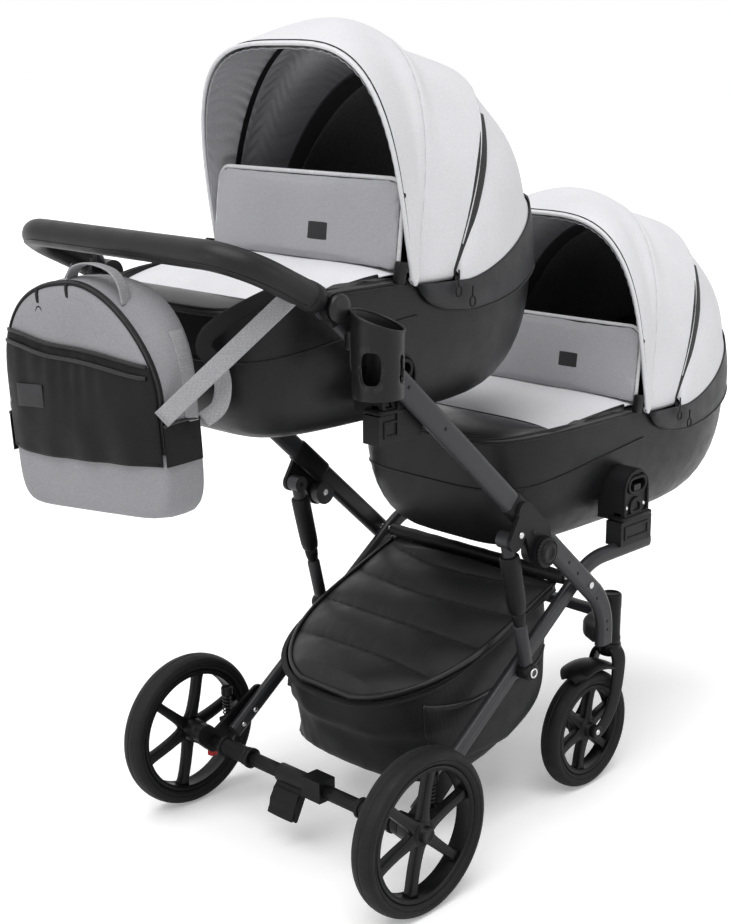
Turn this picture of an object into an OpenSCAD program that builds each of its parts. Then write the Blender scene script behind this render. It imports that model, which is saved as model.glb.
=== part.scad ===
// Twin pram: a folding chassis carries two carrycots, one behind and above the other.
// Millimetres. +Z is up, +Y is the way the pram is pushed, +X is the pusher's right hand.
// The origin lies on the ground, under the middle of the pram.

/* [Wheels] */
// Distance of the rear axle behind the origin
rear_axle_back = 390; // [360:5:420]
// Rear wheel diameter
rear_wheel_d = 290; // [280:2:300]
// Rear tyre width
rear_tyre_w = 46; // [40:1:46]
// Middle of each rear tyre outside the main tube's middle line
rear_tyre_out = 32; // [31:1:46]
// Front wheel diameter
front_wheel_d = 232; // [216:2:236]
// Front tyre width
front_tyre_w = 40; // [30:1:42]
// Swivel axis of each caster inside the main tube's middle line
caster_inset = 62; // [61:1:66]
// Distance from the rear hubs to the front hubs
wheelbase = 568; // [560:2:580]
// Distance of the swivel axis ahead of the front hub
caster_trail = 75; // [66:1:78]
// Radial height of a tyre
tyre_depth = 27; // [20:1:30]
// Spokes in each rim
spoke_count = 6; // [5:1:8]
// Width of a spoke
spoke_w = 24; // [16:1:28]

/* [Frame tubes] */
// Height of the main tube's oval section
tube_h = 40; // [34:1:42]
// Width of the main tube's oval section
tube_w = 20; // [16:1:20]
// Wall of the main tube
tube_wall = 2.5; // [2:0.5:4]
// Distance of each main tube's middle line outside the cots' sides
tube_clear = 51; // [51:1:55]
// Handle pivot, ahead of the rear hubs
handle_pivot_y = -160; // [-180:5:-150]
// Handle pivot, above the ground
handle_pivot_z = 1031; // [1020:1:1045]
// Cross rod, ahead of the rear hubs
cross_y = 477; // [470:1:485]
// Cross rod, above the ground
cross_z = 447; // [442:1:452]
// Distance of the fold pivot from the handle pivot along the tube
fold_station = 683; // [670:1:695]
// Distance of the fold pivot below the tube's middle line
fold_drop = 27.5; // [25:0.5:30]
// Length of lower tube past the cross rod before it bends
bend_lead = 28; // [20:1:35]
// Bend radius at the front of the lower tube
lower_bend_r = 120; // [100:5:130]
// Straight length below that bend
lower_end = 25; // [20:1:40]

/* [Rear legs] */
// Height of the leg's oval section
leg_h = 30; // [26:1:32]
// Width of the leg's oval section
leg_w = 22; // [18:1:22]
// Distance of each leg's middle line inside the main tube's middle line
leg_inset = 29; // [28:0.5:29]
// Leg's middle line below the cross rod
leg_drop = 7; // [2:1:8]
// Slope of the leg
leg_slope = 35.8; // [34:0.2:37]
// Leg's lower end, ahead of the rear hubs
foot_y = 58; // [55:1:70]
// Straight length of leg past the cross rod
leg_lead = 16; // [8:1:30]
// Bend radius at the front of the leg
leg_bend_r = 130; // [100:5:150]
// Leg's front end, ahead of the rear hubs
leg_front_y = 705; // [700:1:720]
// Rear axle tube, ahead of the rear hubs
axle_y = 20; // [16:1:24]
// Rear axle tube, below the rear hubs
axle_drop = 19; // [14:1:22]
// Radius of the rear axle tube
axle_r = 11; // [9:0.5:12]
// Radius of each stub axle
stub_r = 6; // [5:0.5:8]
// Turns in each suspension spring
spring_turns = 6; // [4:1:7]
// Radius of the spring at the middle of its wire
spring_r = 8; // [7.5:0.1:8.4]
// Radius of the spring wire
wire_r = 1.5; // [1:0.1:1.7]

/* [Struts] */
// Strut's upper pivot, behind the fold pivot
strut_back = 70; // [66:1:76]
// Strut's upper pivot, above the fold pivot
strut_rise = 31; // [26:1:36]
// Strut's lower pivot, along the leg from the cross rod
strut_foot = 198; // [185:1:210]
// Radius of the strut sleeve
sleeve_r = 12; // [10:0.5:12]
// Length of the strut sleeve
sleeve_len = 150; // [120:5:170]
// Radius of the strut rod
strut_rod_r = 8.5; // [7:0.5:9.5]

/* [Casters] */
// Radius of the caster housing
housing_r = 21; // [18:0.5:21]
// Height of the caster housing
housing_h = 100; // [90:1:110]
// Lower end of the caster housing, above the ground
housing_z = 272; // [268:1:282]
// Radius of the swivel stem
stem_r = 8; // [6:0.5:10]
// Thickness of each fork leg
fork_t = 9; // [7:0.5:10]
// Front axle pin radius
pin_r = 5; // [4:0.5:6]

/* [Handle and bag] */
// Radius of the padded grip
grip_r = 19; // [16:0.5:20]
// Distance from the handle pivot to the cross grip
handle_reach = 192; // [180:2:210]
// Rise of the handle's legs
handle_rise = 26.6; // [20:0.2:32]
// Bend radius of the grip's corners
grip_bend_r = 72; // [60:1:90]
// Width of the bag
bag_w = 340; // [300:2:350]
// Depth of the bag
bag_d = 104; // [90:1:106]
// Height of the bag
bag_h = 328; // [300:2:340]
// Gap between the bag and the upper cot
bag_gap = 54.5; // [52:0.5:64]
// Middle of the bag to the left of the pram's middle
bag_side = 26; // [10:1:30]
// Turn of the bag, its left end to the rear
bag_turn = 5.5; // [0:0.5:8]
// Upper end of the bag, above the ground
bag_top = 1065; // [1058:1:1068]
// Width of a bag strap
strap_w = 26; // [20:1:30]
// Bore radius of the cup holder
cup_r = 36.5; // [33:0.5:38]
// Wall of the cup holder
cup_wall = 3.5; // [2.5:0.5:4]
// Height of the cup holder
cup_h = 128; // [110:2:140]

/* [Carrycots] */
// Upper cot's hood pivot, ahead of the rear hubs
upper_cot_y = 130; // [125:1:135]
// Upper cot's rim, above the ground
upper_cot_z = 1046; // [1040:1:1060]
// Lower cot ahead of the upper one
cot_step_y = 645; // [640:1:650]
// Lower cot below the upper one
cot_step_z = 314; // [310:1:318]
// Length of a cot
cot_l = 744; // [730:2:756]
// Width of a cot
cot_w = 426; // [416:2:430]
// Depth of a cot's shell
cot_depth = 246; // [240:1:250]
// Dip of a cot's rim at its foot end
rim_dip = 40; // [25:1:45]
// Wall of a cot's shell
cot_wall = 6; // [4:0.5:8]
// Thickness of the mattress
mattress_t = 38; // [30:1:50]
// Height of the wind flap
flap_h = 152; // [140:1:160]
// Gap between the wind flap's ends and the cot's sides
flap_clear = 13; // [11:1:23]
// Middle of the receivers, behind the hood pivot
receiver_back = 127; // [122:1:132]
// Lower face of the receivers, below the rim
receiver_drop = 202; // [200:1:204]
// Height of a receiver's arch
receiver_h = 96; // [90:1:104]

/* [Hoods] */
// Outer radius of a hood in its middle plane
hood_r = 396; // [392:1:400]
// Distance a hood stands out from the cot's sides
hood_out = 13; // [8:1:14]
// Angle of the hood's front edge above the rim
hood_front = 113; // [108:1:116]
// Angle of the seam behind the front panel
hood_seam = 84; // [80:1:86]
// Angle of the zip behind the middle panel
hood_zip = 52; // [50:1:56]
// Angle of the skirt's upper edge
skirt_top = 19; // [16:1:21]
// Thickness of a hood panel
hood_t = 2.4; // [2:0.1:2.6]

/* [Basket] */
// Width of the basket at its rim
basket_w = 396; // [380:2:400]
// Basket floor, above the ground
basket_z = 140; // [135:1:150]
// Lid's hinge line behind the cross rod
lid_back = 15; // [14:1:20]
// Lid's hinge line below the cross rod
lid_drop = 18; // [16:1:22]
// Slope of the lid
lid_slope = 20.2; // [18:0.2:22]
// Length of the lid
lid_l = 412; // [400:2:420]
// Quilted panels across the lid
lid_panels = 4; // [3:1:6]
// Crown of the lid
lid_crown = 14; // [8:1:18]
// Wall of the basket
basket_wall = 4; // [3:0.5:6]

/* [Hidden] */
$fn = 48;

// A bend is this much fuller than the straight runs, which end this far inside it
bend_full = 0.4;
bend_lap = 1;

// Radial clearance of a turning pin, gap between pieces that only rest on each other,
// and gap between pieces that move past each other
run_fit = 0.05;
rest_gap = 0.3;
pass_gap = 1;

// Middle lines and half widths across the pram, counted from the cots' width
tube_plane = cot_w / 2 + tube_clear;
leg_plane = tube_plane - leg_inset;
rear_track = 2 * (tube_plane + rear_tyre_out);
front_track = 2 * (tube_plane - caster_inset);
flap_w = cot_w - 2 * flap_clear;
hood_half_w = cot_w / 2 + hood_out;

// Points in the side view are [distance ahead of the rear hubs, height above the ground]
rear_hub = [0, rear_wheel_d / 2];
front_hub = [wheelbase, front_wheel_d / 2];
swivel_y = wheelbase + caster_trail;
handle_pivot = [handle_pivot_y, handle_pivot_z];
cross_pivot = [cross_y, cross_z];
axle_at = [axle_y, rear_hub[1] - axle_drop];
tube_dir = (cross_pivot - handle_pivot) / norm(cross_pivot - handle_pivot);
tube_up = [-tube_dir[1], tube_dir[0]];
tube_angle = atan2(-tube_dir[1], tube_dir[0]);
cross_station = norm(cross_pivot - handle_pivot);
function on_tube(s, h = 0) = handle_pivot + s * tube_dir + h * tube_up;
fold_pivot = on_tube(fold_station, -fold_drop);
leg_dir = [cos(leg_slope), sin(leg_slope)];
leg_up = [-leg_dir[1], leg_dir[0]];
leg_cross = [cross_y, cross_z - leg_drop];
function on_leg(s, h = 0) = leg_cross + s * leg_dir + h * leg_up;
leg_foot = (foot_y - cross_y) / leg_dir[0];
leg_bend_centre = on_leg(leg_lead, -leg_bend_r);
leg_front_z = leg_bend_centre[1] + leg_bend_r;
strut_top = fold_pivot + [-strut_back, strut_rise];
strut_low = on_leg(-strut_foot);
strut_len = norm(strut_low - strut_top);
strut_angle = atan2(strut_low[1] - strut_top[1], strut_low[0] - strut_top[0]);
handle_dir = [-cos(handle_rise), sin(handle_rise)];
function on_handle(s) = handle_pivot + s * handle_dir;
lower_cot_y = upper_cot_y + cot_step_y;
lower_cot_z = upper_cot_z - cot_step_z;
bag_z = bag_top - bag_h;
bag_back = cot_l / 2 - upper_cot_y + bag_gap + bag_d / 2;
lid_hinge = cross_pivot - [lid_back, lid_drop];

// Faces across the pram, as distances from its middle
tube_in = tube_plane - tube_w / 2;
tube_out = tube_plane + tube_w / 2;
leg_in = leg_plane - leg_w / 2;
leg_out = leg_plane + leg_w / 2;
bolt_r = 6;
knuckle_t = 8;
knuckle_in = tube_out + rest_gap;
knuckle_out = knuckle_in + knuckle_t;

// Side view outlines lie in Y and Z and are given thickness along X
module side_slab(x0, x1) {
  translate([x0, 0, 0]) rotate([90, 0, 90]) linear_extrude(x1 - x0) children();
}

module side_pin(at, r, x0, x1) {
  translate([x0, at[0], at[1]]) rotate([0, 90, 0]) cylinder(r = r, h = x1 - x0);
}

module side_box(at, size, x0, x1) {
  translate([x0, at[0] - size[0] / 2, at[1] - size[1] / 2]) cube([x1 - x0, size[0], size[1]]);
}

module from_axle() {
  translate([0, -rear_axle_back, 0]) children();
}

module both_sides() {
  children();
  mirror([1, 0, 0]) children();
}

module on_side(s) {
  if (s > 0) children();
  else mirror([1, 0, 0]) children();
}

module stadium(w, h) {
  square([w, h - w], center = true);
  for (e = [-1, 1]) translate([0, e * (h - w) / 2]) circle(d = w);
}

// An arc of tube in the side view: the section's first axis is radial, its second lies along X
module side_arc(centre, r, a0, a1) {
  translate([0, centre[0], centre[1]]) rotate([90, 0, 90]) rotate([0, 0, a0])
    rotate_extrude(angle = a1 - a0) translate([r, 0]) children();
}

// A closed skin over rings of equal count, each ring turning left about the way the rings go
module loft(rings) {
  n = len(rings[0]);
  m = len(rings);
  sides = [for (k = [0 : m - 2], i = [0 : n - 1]) let (j = (i + 1) % n)
    each [[k * n + i, k * n + n + i, k * n + n + j], [k * n + i, k * n + n + j, k * n + j]]];
  low = [[for (i = [0 : n - 1]) i]];
  high = [[for (i = [n - 1 : -1 : 0]) (m - 1) * n + i]];
  polyhedron([for (r = rings) each r], concat(low, sides, high));
}

function bend(v, power) = sign(v) * pow(abs(v), power);
function oval(half_x, half_y, power, count, yc, z) = [for (i = [0 : count - 1])
  let (t = 360 * i / count)
  [half_x * bend(cos(t), 2 / power), yc + half_y * bend(sin(t), 2 / power), z]];
function mix(a, b, t) = a + (b - a) * t;

// Chassis: lower tubes, crossbar, caster housings and pivots

module tube_run(s0, s1) {
  start = on_tube(s0);
  translate([tube_plane, start[0], start[1]]) rotate([-90 - tube_angle, 0, 0]) difference() {
    linear_extrude(s1 - s0) stadium(tube_w, tube_h);
    translate([0, 0, tube_wall]) linear_extrude(s1 - s0 - 2 * tube_wall)
      stadium(tube_w - 2 * tube_wall, tube_h - 2 * tube_wall);
  }
}

fold_lug_r = 24;
butt_station = fold_station - fold_lug_r;
bend_station = cross_station + bend_lead;
lower_bend_centre = on_tube(bend_station, -lower_bend_r);
lower_end_y = lower_bend_centre[0] + lower_bend_r;
lower_end_z = lower_bend_centre[1] - lower_end;

module lower_tube(s) {
  color("#2b2c2e") from_axle() on_side(s) difference() {
    union() {
      tube_run(butt_station, bend_station + bend_lap);
      translate([tube_plane, 0, 0]) side_arc(lower_bend_centre, lower_bend_r, 0, 90 - tube_angle)
        rotate(90) stadium(tube_w + bend_full, tube_h + bend_full);
      translate([tube_plane, lower_end_y, lower_end_z]) linear_extrude(lower_end + bend_lap)
        stadium(tube_w, tube_h);
      side_pin(fold_pivot, fold_lug_r, tube_in + rest_gap, tube_out - rest_gap);
    }
    side_pin(fold_pivot, bolt_r + run_fit, tube_in - 1, tube_out + 1);
    side_pin(cross_pivot, bolt_r + run_fit, tube_in - 1, tube_out + 1);
  }
}

module lower_tube_left() { lower_tube(-1); }
module lower_tube_right() { lower_tube(1); }

caster_x = front_track / 2;
bar_z = housing_z + housing_h * 0.55;
bar_r = 12;
arm_h = 30;
arm_w = 30;

module caster_housings() {
  color("#1c1d1f") from_axle() both_sides() difference() {
    union() {
      translate([caster_x, swivel_y, housing_z]) cylinder(r = housing_r, h = housing_h);
      translate([caster_x, lower_end_y - arm_w / 2, lower_end_z + 2])
        cube([tube_in - rest_gap - caster_x, arm_w, arm_h]);
      translate([caster_x - arm_w / 2, lower_end_y - arm_w / 2, lower_end_z + 2])
        cube([arm_w, swivel_y - lower_end_y + arm_w / 2, arm_h]);
    }
    translate([caster_x, swivel_y, housing_z - 1]) cylinder(r = stem_r + run_fit, h = housing_h * 0.7);
  }
}

module front_crossbar() {
  color("#1c1d1f") from_axle() difference() {
    side_pin([swivel_y, bar_z], bar_r, -caster_x, caster_x);
    both_sides() translate([caster_x, swivel_y, housing_z]) cylinder(r = housing_r + run_fit, h = housing_h);
  }
}

module pivot_bolts() {
  color("#8c8e90") from_axle() {
    both_sides() side_pin(fold_pivot, bolt_r, tube_in, knuckle_out - 0.5);
    side_pin(cross_pivot, bolt_r, -tube_out - 4, tube_out + 4);
  }
}

// Upper tubes, knuckles, adapters and cup holder

lug_r = 21;
lug_in = tube_in - 2;
lug_mid = tube_plane - 1;
lug_out = tube_out + 4;
neck_start = lug_r + 4;

module upper_tube(s) {
  neck = on_tube(0, 0);
  color("#2b2c2e") from_axle() on_side(s) difference() {
    union() {
      tube_run(neck_start, butt_station - pass_gap);
      side_pin(handle_pivot, lug_r, lug_in, lug_mid);
      translate([lug_in, neck[0], neck[1]]) rotate([-tube_angle, 0, 0])
        translate([0, 0, -tube_w / 2]) cube([lug_mid - lug_in, neck_start + 6, tube_w]);
    }
    side_pin(handle_pivot, pin_r + run_fit, lug_in - 1, lug_mid + 1);
  }
}

module upper_tube_left() { upper_tube(-1); }
module upper_tube_right() { upper_tube(1); }

eye_half = sleeve_r + 1;
strut_in = leg_out + 1.5;
strut_mid = strut_in + eye_half;
strut_out = strut_mid + eye_half;
dial_r = 27.5;
dial_t = 8;
eye_r = 15;

module fold_knuckles() {
  color("#202123") from_axle() both_sides() difference() {
    union() {
      side_slab(knuckle_in, knuckle_out) {
        hull() {
          translate(strut_top) circle(eye_r + 2);
          translate(on_tube(fold_station - 82)) circle(tube_h / 2 - 2);
        }
        hull() {
          translate(fold_pivot) circle(dial_r);
          translate(on_tube(fold_station - 88)) circle(tube_h / 2 - 2);
          translate(on_tube(fold_station - 20)) circle(tube_h / 2 - 2);
        }
      }
      side_pin(strut_top, pin_r, strut_in, knuckle_in);
      side_pin(fold_pivot, dial_r, knuckle_out, knuckle_out + dial_t);
    }
    side_pin(fold_pivot, bolt_r + run_fit, knuckle_in - 1, knuckle_out);
  }
}

receiver_in = leg_plane - 45;
receiver_out = leg_out;
receiver_half = 40;
tongue_half = 7;
tongue_h = 14;
tongue_l = 30;
adapter_in = leg_in - 8;
adapter_out = leg_out + 5;
adapter_h = 46;
adapter_half = 48;
upper_seat = [upper_cot_y - receiver_back, upper_cot_z - receiver_drop];
lower_seat = [lower_cot_y - receiver_back, lower_cot_z - receiver_drop];

// A block whose flat top carries a receiver, with a tongue that enters the receiver's slot
module adapter(seat) {
  side_box(seat - [0, rest_gap + adapter_h / 2], [2 * adapter_half, adapter_h], adapter_in, adapter_out);
  side_box(seat + [0, tongue_h / 2 - 1], [tongue_l, tongue_h + 2], leg_plane - tongue_half, leg_plane + tongue_half);
}

module upper_adapters() {
  plate_top = on_tube((upper_seat[0] - handle_pivot_y) / tube_dir[0]);
  color("#17181a") from_axle() both_sides() {
    adapter(upper_seat);
    side_slab(leg_out + 1, tube_in - rest_gap) polygon([
      upper_seat + [-10, -adapter_h + 10], upper_seat + [adapter_half, -adapter_h + 10],
      upper_seat + [adapter_half, -10], plate_top + [8, 2], plate_top + [-8, 2], upper_seat + [-10, -10]
    ]);
  }
}

cup_ahead = 60;
cup_x = knuckle_in + 4 + cup_wall + cup_r;
cup_at = on_tube(cup_ahead);
cup_z = cup_at[1] - cup_h * 0.72;

module cup_holder() {
  cup_floor = 5;
  slot_w = 14;
  mouth_turn = 35;
  mouth_slant = 20;
  cup_fall = 2 * (cup_r + cup_wall) * tan(mouth_slant);
  color("#151617") from_axle() difference() {
    union() {
      translate([cup_x, cup_at[0], cup_z]) cylinder(r = cup_r + cup_wall, h = cup_h);
      side_box(cup_at - [0, 10], [44, 34], knuckle_in, cup_x - cup_r - 1);
    }
    translate([cup_x, cup_at[0], cup_z + cup_floor]) cylinder(r = cup_r, h = cup_h);
    translate([cup_x, cup_at[0], cup_z + cup_h - cup_fall / 2]) rotate([0, mouth_slant, mouth_turn])
      translate([-cup_h, -cup_h, 0]) cube([2 * cup_h, 2 * cup_h, cup_h]);
    for (e = [-1, 1]) translate([cup_x, cup_at[0], cup_z + 26]) rotate(e * 55)
      translate([cup_r - 10, -slot_w / 2, 0]) cube([20, slot_w, 30]);
  }
}

// Rear legs, axle, brackets and springs

module leg_bar(grow) {
  start = on_leg(leg_foot);
  translate([leg_plane, start[0], start[1]]) rotate([-90 + leg_slope, 0, 0])
    linear_extrude(leg_lead - leg_foot + bend_lap) stadium(leg_w + grow, leg_h + grow);
  translate([leg_plane, 0, 0]) side_arc(leg_bend_centre, leg_bend_r, 90, 90 + leg_slope)
    rotate(90) stadium(leg_w + grow + bend_full, leg_h + grow + bend_full);
  translate([leg_plane, leg_bend_centre[0] - bend_lap, leg_front_z]) rotate([-90, 0, 0])
    linear_extrude(leg_front_y - leg_bend_centre[0] + bend_lap) stadium(leg_w + grow, leg_h + grow);
}

module rear_leg(s) {
  color("#2b2c2e") from_axle() on_side(s) difference() {
    leg_bar(0);
    side_pin(cross_pivot, bolt_r + run_fit, leg_in - 1, leg_out + 1);
  }
}

module rear_leg_left() { rear_leg(-1); }
module rear_leg_right() { rear_leg(1); }

module lower_adapters() {
  color("#17181a") from_axle() both_sides() difference() {
    adapter(lower_seat);
    leg_bar(2 * run_fit);
  }
}

pedal_x0 = -62;
pedal_x1 = 10;
brake_w = 46;

module rear_axle() {
  sleeve_x0 = 140;
  sleeve_x1 = leg_in - 1;
  color("#232426") from_axle() {
    side_pin(axle_at, axle_r, -leg_out, leg_out);
    both_sides() side_pin(axle_at, axle_r + 5, sleeve_x0, sleeve_x1);
    side_box(axle_at + [0, 3], [38, 40], pedal_x1 + pass_gap, pedal_x1 + pass_gap + brake_w);
  }
}

plate_t = 6;
bracket_in = leg_out + rest_gap;
carrier_out = rear_track / 2 - 34;
carrier_r = 20;
spring_x = bracket_in + plate_t + spring_r + wire_r + pass_gap;
spring_y = foot_y + 8;
spring_seat = rear_hub[1] + 12;
spring_lead = 3;
spring_pitch = 6.6;
spring_h = spring_turns * spring_pitch + 2 * spring_lead;
button_size = [16, 13];
button_at = axle_at - [0, carrier_r];

module rear_brackets() {
  color("#17181a") from_axle() both_sides() difference() {
    union() {
      side_slab(bracket_in, bracket_in + plate_t) hull() {
        translate(on_leg(leg_foot + 88)) circle(18);
        translate(on_leg(leg_foot + 12)) circle(20);
        translate(axle_at) circle(carrier_r);
      }
      side_slab(bracket_in, carrier_out) hull() {
        translate(axle_at) circle(carrier_r);
        translate(rear_hub) circle(carrier_r);
      }
      side_pin(rear_hub, stub_r, carrier_out, rear_track / 2 + 20);
      translate([bracket_in, spring_y - 12, spring_seat - 8])
        cube([spring_x + 10 - bracket_in, 24, 8]);
      translate([spring_x, spring_y, spring_seat - 4]) cylinder(r = 4, h = spring_h + 10);
      translate([spring_x, spring_y, spring_seat + spring_h + 2 * rest_gap])
        cylinder(r = spring_r + 3, h = 12);
    }
    side_box(button_at + [0, 2], button_size + [2 * rest_gap, 13], bracket_in + 2, carrier_out - 2);
  }
}

// A spring is one tube along a helix, with a short straight end at each seat
spring_sides = 6;
spring_steps = 8;
spring_last = 360 * spring_turns;
spring_path = concat(
  [[spring_r, 0, 0]],
  [for (i = [0 : spring_steps * spring_turns]) let (t = 360 * i / spring_steps)
    [spring_r * cos(t), spring_r * sin(t), spring_lead + spring_pitch * i / spring_steps]],
  [[spring_r * cos(spring_last), spring_r * sin(spring_last), spring_h]]
);
function path_way(i) = let (a = spring_path[max(i - 1, 0)], b = spring_path[min(i + 1, len(spring_path) - 1)])
  (b - a) / norm(b - a);
function spring_ring(i) = let (p = spring_path[i], way = path_way(i),
    out = [p[0], p[1], 0] / norm([p[0], p[1]]), flat = out - way * (out * way),
    n = flat / norm(flat), b = cross(way, n))
  [for (k = [0 : spring_sides - 1]) let (a = 360 * k / spring_sides) p + wire_r * (cos(a) * n + sin(a) * b)];
spring_gap = min([for (i = [0 : len(spring_path) - 1], j = [0 : len(spring_path) - 1])
  if (j > i + spring_steps / 2) norm(spring_path[i] - spring_path[j])]) - 2 * wire_r;
echo(str("least gap of a spring to itself ", spring_gap, " mm"));

module suspension_springs() {
  color("#3a3b3d") from_axle() both_sides()
    translate([spring_x, spring_y, spring_seat + rest_gap])
      loft([for (i = [0 : len(spring_path) - 1]) spring_ring(i)]);
}

module brake_pedal() {
  color("#1b1c1e") from_axle() difference() {
    union() {
      side_pin(axle_at, axle_r + 6, pedal_x0, pedal_x1);
      side_slab(pedal_x0 + 2, pedal_x1 - 2) hull() {
        translate(axle_at + [-8, -14]) circle(6);
        translate(axle_at + [-26, -40]) circle(5);
        translate(axle_at + [-30, -62]) circle(4);
      }
    }
    side_pin(axle_at, axle_r + run_fit, pedal_x0 - 1, pedal_x1 + 1);
  }
}

module release_button(s) {
  color("#c4161c") from_axle() on_side(s)
    side_box(button_at - [0, 2], button_size, bracket_in + 2 + rest_gap, carrier_out - 2 - rest_gap);
}

module release_button_left() { release_button(-1); }
module release_button_right() { release_button(1); }

// Struts, each turned about its upper pivot

module along_strut() {
  translate([strut_mid, strut_top[0], strut_top[1]]) rotate([strut_angle + 90, 0, 0]) rotate([180, 0, 0])
    children();
}

module strut_sleeves() {
  color("#26272a") from_axle() both_sides() difference() {
    union() {
      along_strut() translate([0, 0, 8]) cylinder(r = sleeve_r, h = sleeve_len - 8);
      side_pin(strut_top, eye_r, strut_in, strut_out);
    }
    side_pin(strut_top, pin_r + run_fit, strut_in - 1, strut_out + 1);
  }
}

module strut_rods() {
  color("#26272a") from_axle() both_sides() {
    along_strut() translate([0, 0, sleeve_len]) cylinder(r = strut_rod_r, h = strut_len - sleeve_len - 6);
    side_pin(strut_low, eye_r - 1, strut_in, strut_out);
    side_pin(strut_low, bolt_r, strut_out, strut_out + 4);
  }
}

// Handle, its lugs and buttons

grip_start = lug_r + 10;

module handle_grip() {
  leg_end = handle_reach - grip_bend_r;
  start = on_handle(grip_start);
  half_bar = tube_plane - grip_bend_r;
  bar_at = on_handle(handle_reach);
  color("#242527") from_axle() {
    both_sides() {
      translate([tube_plane, start[0], start[1]]) rotate([90 - handle_rise, 0, 0])
        cylinder(r = grip_r, h = leg_end - grip_start + bend_lap);
      translate([half_bar, on_handle(leg_end)[0], on_handle(leg_end)[1]]) rotate([180 - handle_rise, 0, 0])
        rotate_extrude(angle = 90) translate([grip_bend_r, 0]) circle(grip_r + bend_full / 2);
    }
    side_pin(bar_at, grip_r, -half_bar - bend_lap, half_bar + bend_lap);
  }
}

button_r = 9;
button_sink = 10;
button_play = 5.5;

module handle_lugs() {
  color("#1b1c1e") from_axle() both_sides() difference() {
    union() {
      side_pin(handle_pivot, lug_r, lug_mid + rest_gap, lug_out);
      side_pin(handle_pivot, pin_r, lug_in, lug_mid + rest_gap);
      translate([lug_mid + rest_gap, handle_pivot_y, handle_pivot_z]) rotate([180 - handle_rise, 0, 0])
        translate([0, 0, -10]) cube([lug_out - 2 - lug_mid, grip_start - 6, 20]);
      translate([tube_plane, on_handle(lug_r + 1)[0], on_handle(lug_r + 1)[1]]) rotate([90 - handle_rise, 0, 0])
        cylinder(r = 11, h = grip_start - lug_r - 1);
    }
    side_pin(handle_pivot, button_r + run_fit, lug_out - button_sink, lug_out + 1);
  }
}

module handle_button(s) {
  color("#101112") from_axle() on_side(s)
    side_pin(handle_pivot, button_r, lug_out - button_sink + button_play, lug_out + 3);
}

module handle_button_left() { handle_button(-1); }
module handle_button_right() { handle_button(1); }

// Bag and its straps

function bag_ring(grow, k) = let (
    share = [0, 0.03, 0.16, 0.5, 0.8, 0.94, 1][k],
    wide = [0.8, 0.94, 1, 1, 0.95, 0.8, 0.56][k],
    deep = [0.62, 0.88, 1, 1, 0.92, 0.7, 0.38][k],
    z = bag_z + grow * (share < 0.5 ? -1 : 1) + share * bag_h)
  oval(wide * bag_w / 2 + grow, deep * bag_d / 2 + grow, 3.4, 32, 0, z);

module bag_body() {
  bag_skin = 4;
  color("#8e9094") from_axle() translate([-bag_side, -bag_back, 0]) rotate(bag_turn) difference() {
    loft([for (k = [0 : 6]) bag_ring(0, k)]);
    loft([for (k = [0 : 6]) bag_ring(-bag_skin, k)]);
  }
}

strap_t = 2;
strap_x = tube_plane + grip_r + rest_gap;
strap_at = on_handle(76);

// A flat web: each ring has two corners on either side of the web's middle line
function strap_ring(p, face, turn = 0) = [for (c = [[1, 1], [1, -1], [-1, -1], [-1, 1]])
  p + c[0] * strap_t / 2 * [face[0], 0, face[1]] + c[1] * strap_w / 2 * [-sin(turn), cos(turn), 0]];

// Where a strap is sewn to the middle of the bag's side
function strap_sewn(side) = let (along = side * (bag_w / 2 + rest_gap + strap_t / 2))
  [-bag_side + along * cos(bag_turn), -bag_back + along * sin(bag_turn)];

module bag_strap(side) {
  out_x = side * (strap_x + strap_t / 2);
  in_at = strap_sewn(side);
  bend_at = strap_at + [-22, -40];
  slope = [0.93, -side * 0.36];
  ring = [
    strap_ring([out_x, strap_at[0] + 6, strap_at[1] + 12], [1, 0]),
    strap_ring([out_x, bend_at[0], bend_at[1]], slope),
    strap_ring([in_at[0], in_at[1], bag_z + bag_h * 0.5], slope, bag_turn),
    strap_ring([in_at[0], in_at[1], bag_z + bag_h * 0.36], [1, 0], bag_turn)
  ];
  loft(ring);
}

module bag_straps() {
  color("#9a9ca0") from_axle() for (side = [-1, 1]) bag_strap(side);
}

// Wheels: the axis lies along Z until the wheel is placed

function tyre_outline(r_in, r_out, w) = [for (i = [0 : 23]) let (t = 360 * i / 24)
  [mix(r_in, r_out, 0.5 + bend(cos(t), 0.62) / 2), w / 2 * bend(sin(t), 0.62)]];

module wheel_at(s, hub, track) {
  from_axle() on_side(s) translate([track / 2, hub[0], hub[1]]) rotate([0, 90, 0]) children();
}

module tyre(d, w) {
  rotate_extrude($fn = 96) polygon(tyre_outline(d / 2 - tyre_depth + run_fit, d / 2, w));
}

module rim(d, w, bore_r, hub_in, hub_out) {
  seat = d / 2 - tyre_depth;
  rim_t = 9;
  hub_r = 23;
  difference() {
    union() {
      rotate_extrude($fn = 96) translate([seat - rim_t, -w * 0.36]) square([rim_t, w * 0.72]);
      translate([0, 0, -hub_in]) cylinder(r = hub_r, h = hub_in + hub_out);
      for (k = [0 : spoke_count - 1]) rotate(360 * (k + 0.3) / spoke_count) translate([0, 0, -w * 0.2])
        linear_extrude(w * 0.4) polygon([
          [hub_r - 4, -spoke_w * 0.62], [seat - rim_t + 2, -spoke_w / 2],
          [seat - rim_t + 2, spoke_w / 2], [hub_r - 4, spoke_w * 0.62]
        ]);
    }
    translate([0, 0, -hub_in - 1]) cylinder(r = bore_r, h = hub_in + hub_out - 3);
  }
}

rear_hub_in = rear_track / 2 - carrier_out - rest_gap;
rear_hub_out = rear_tyre_w / 2 + 1;

module rear_tyre(s) {
  color("#161616") wheel_at(s, rear_hub, rear_track) tyre(rear_wheel_d, rear_tyre_w);
}

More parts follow.
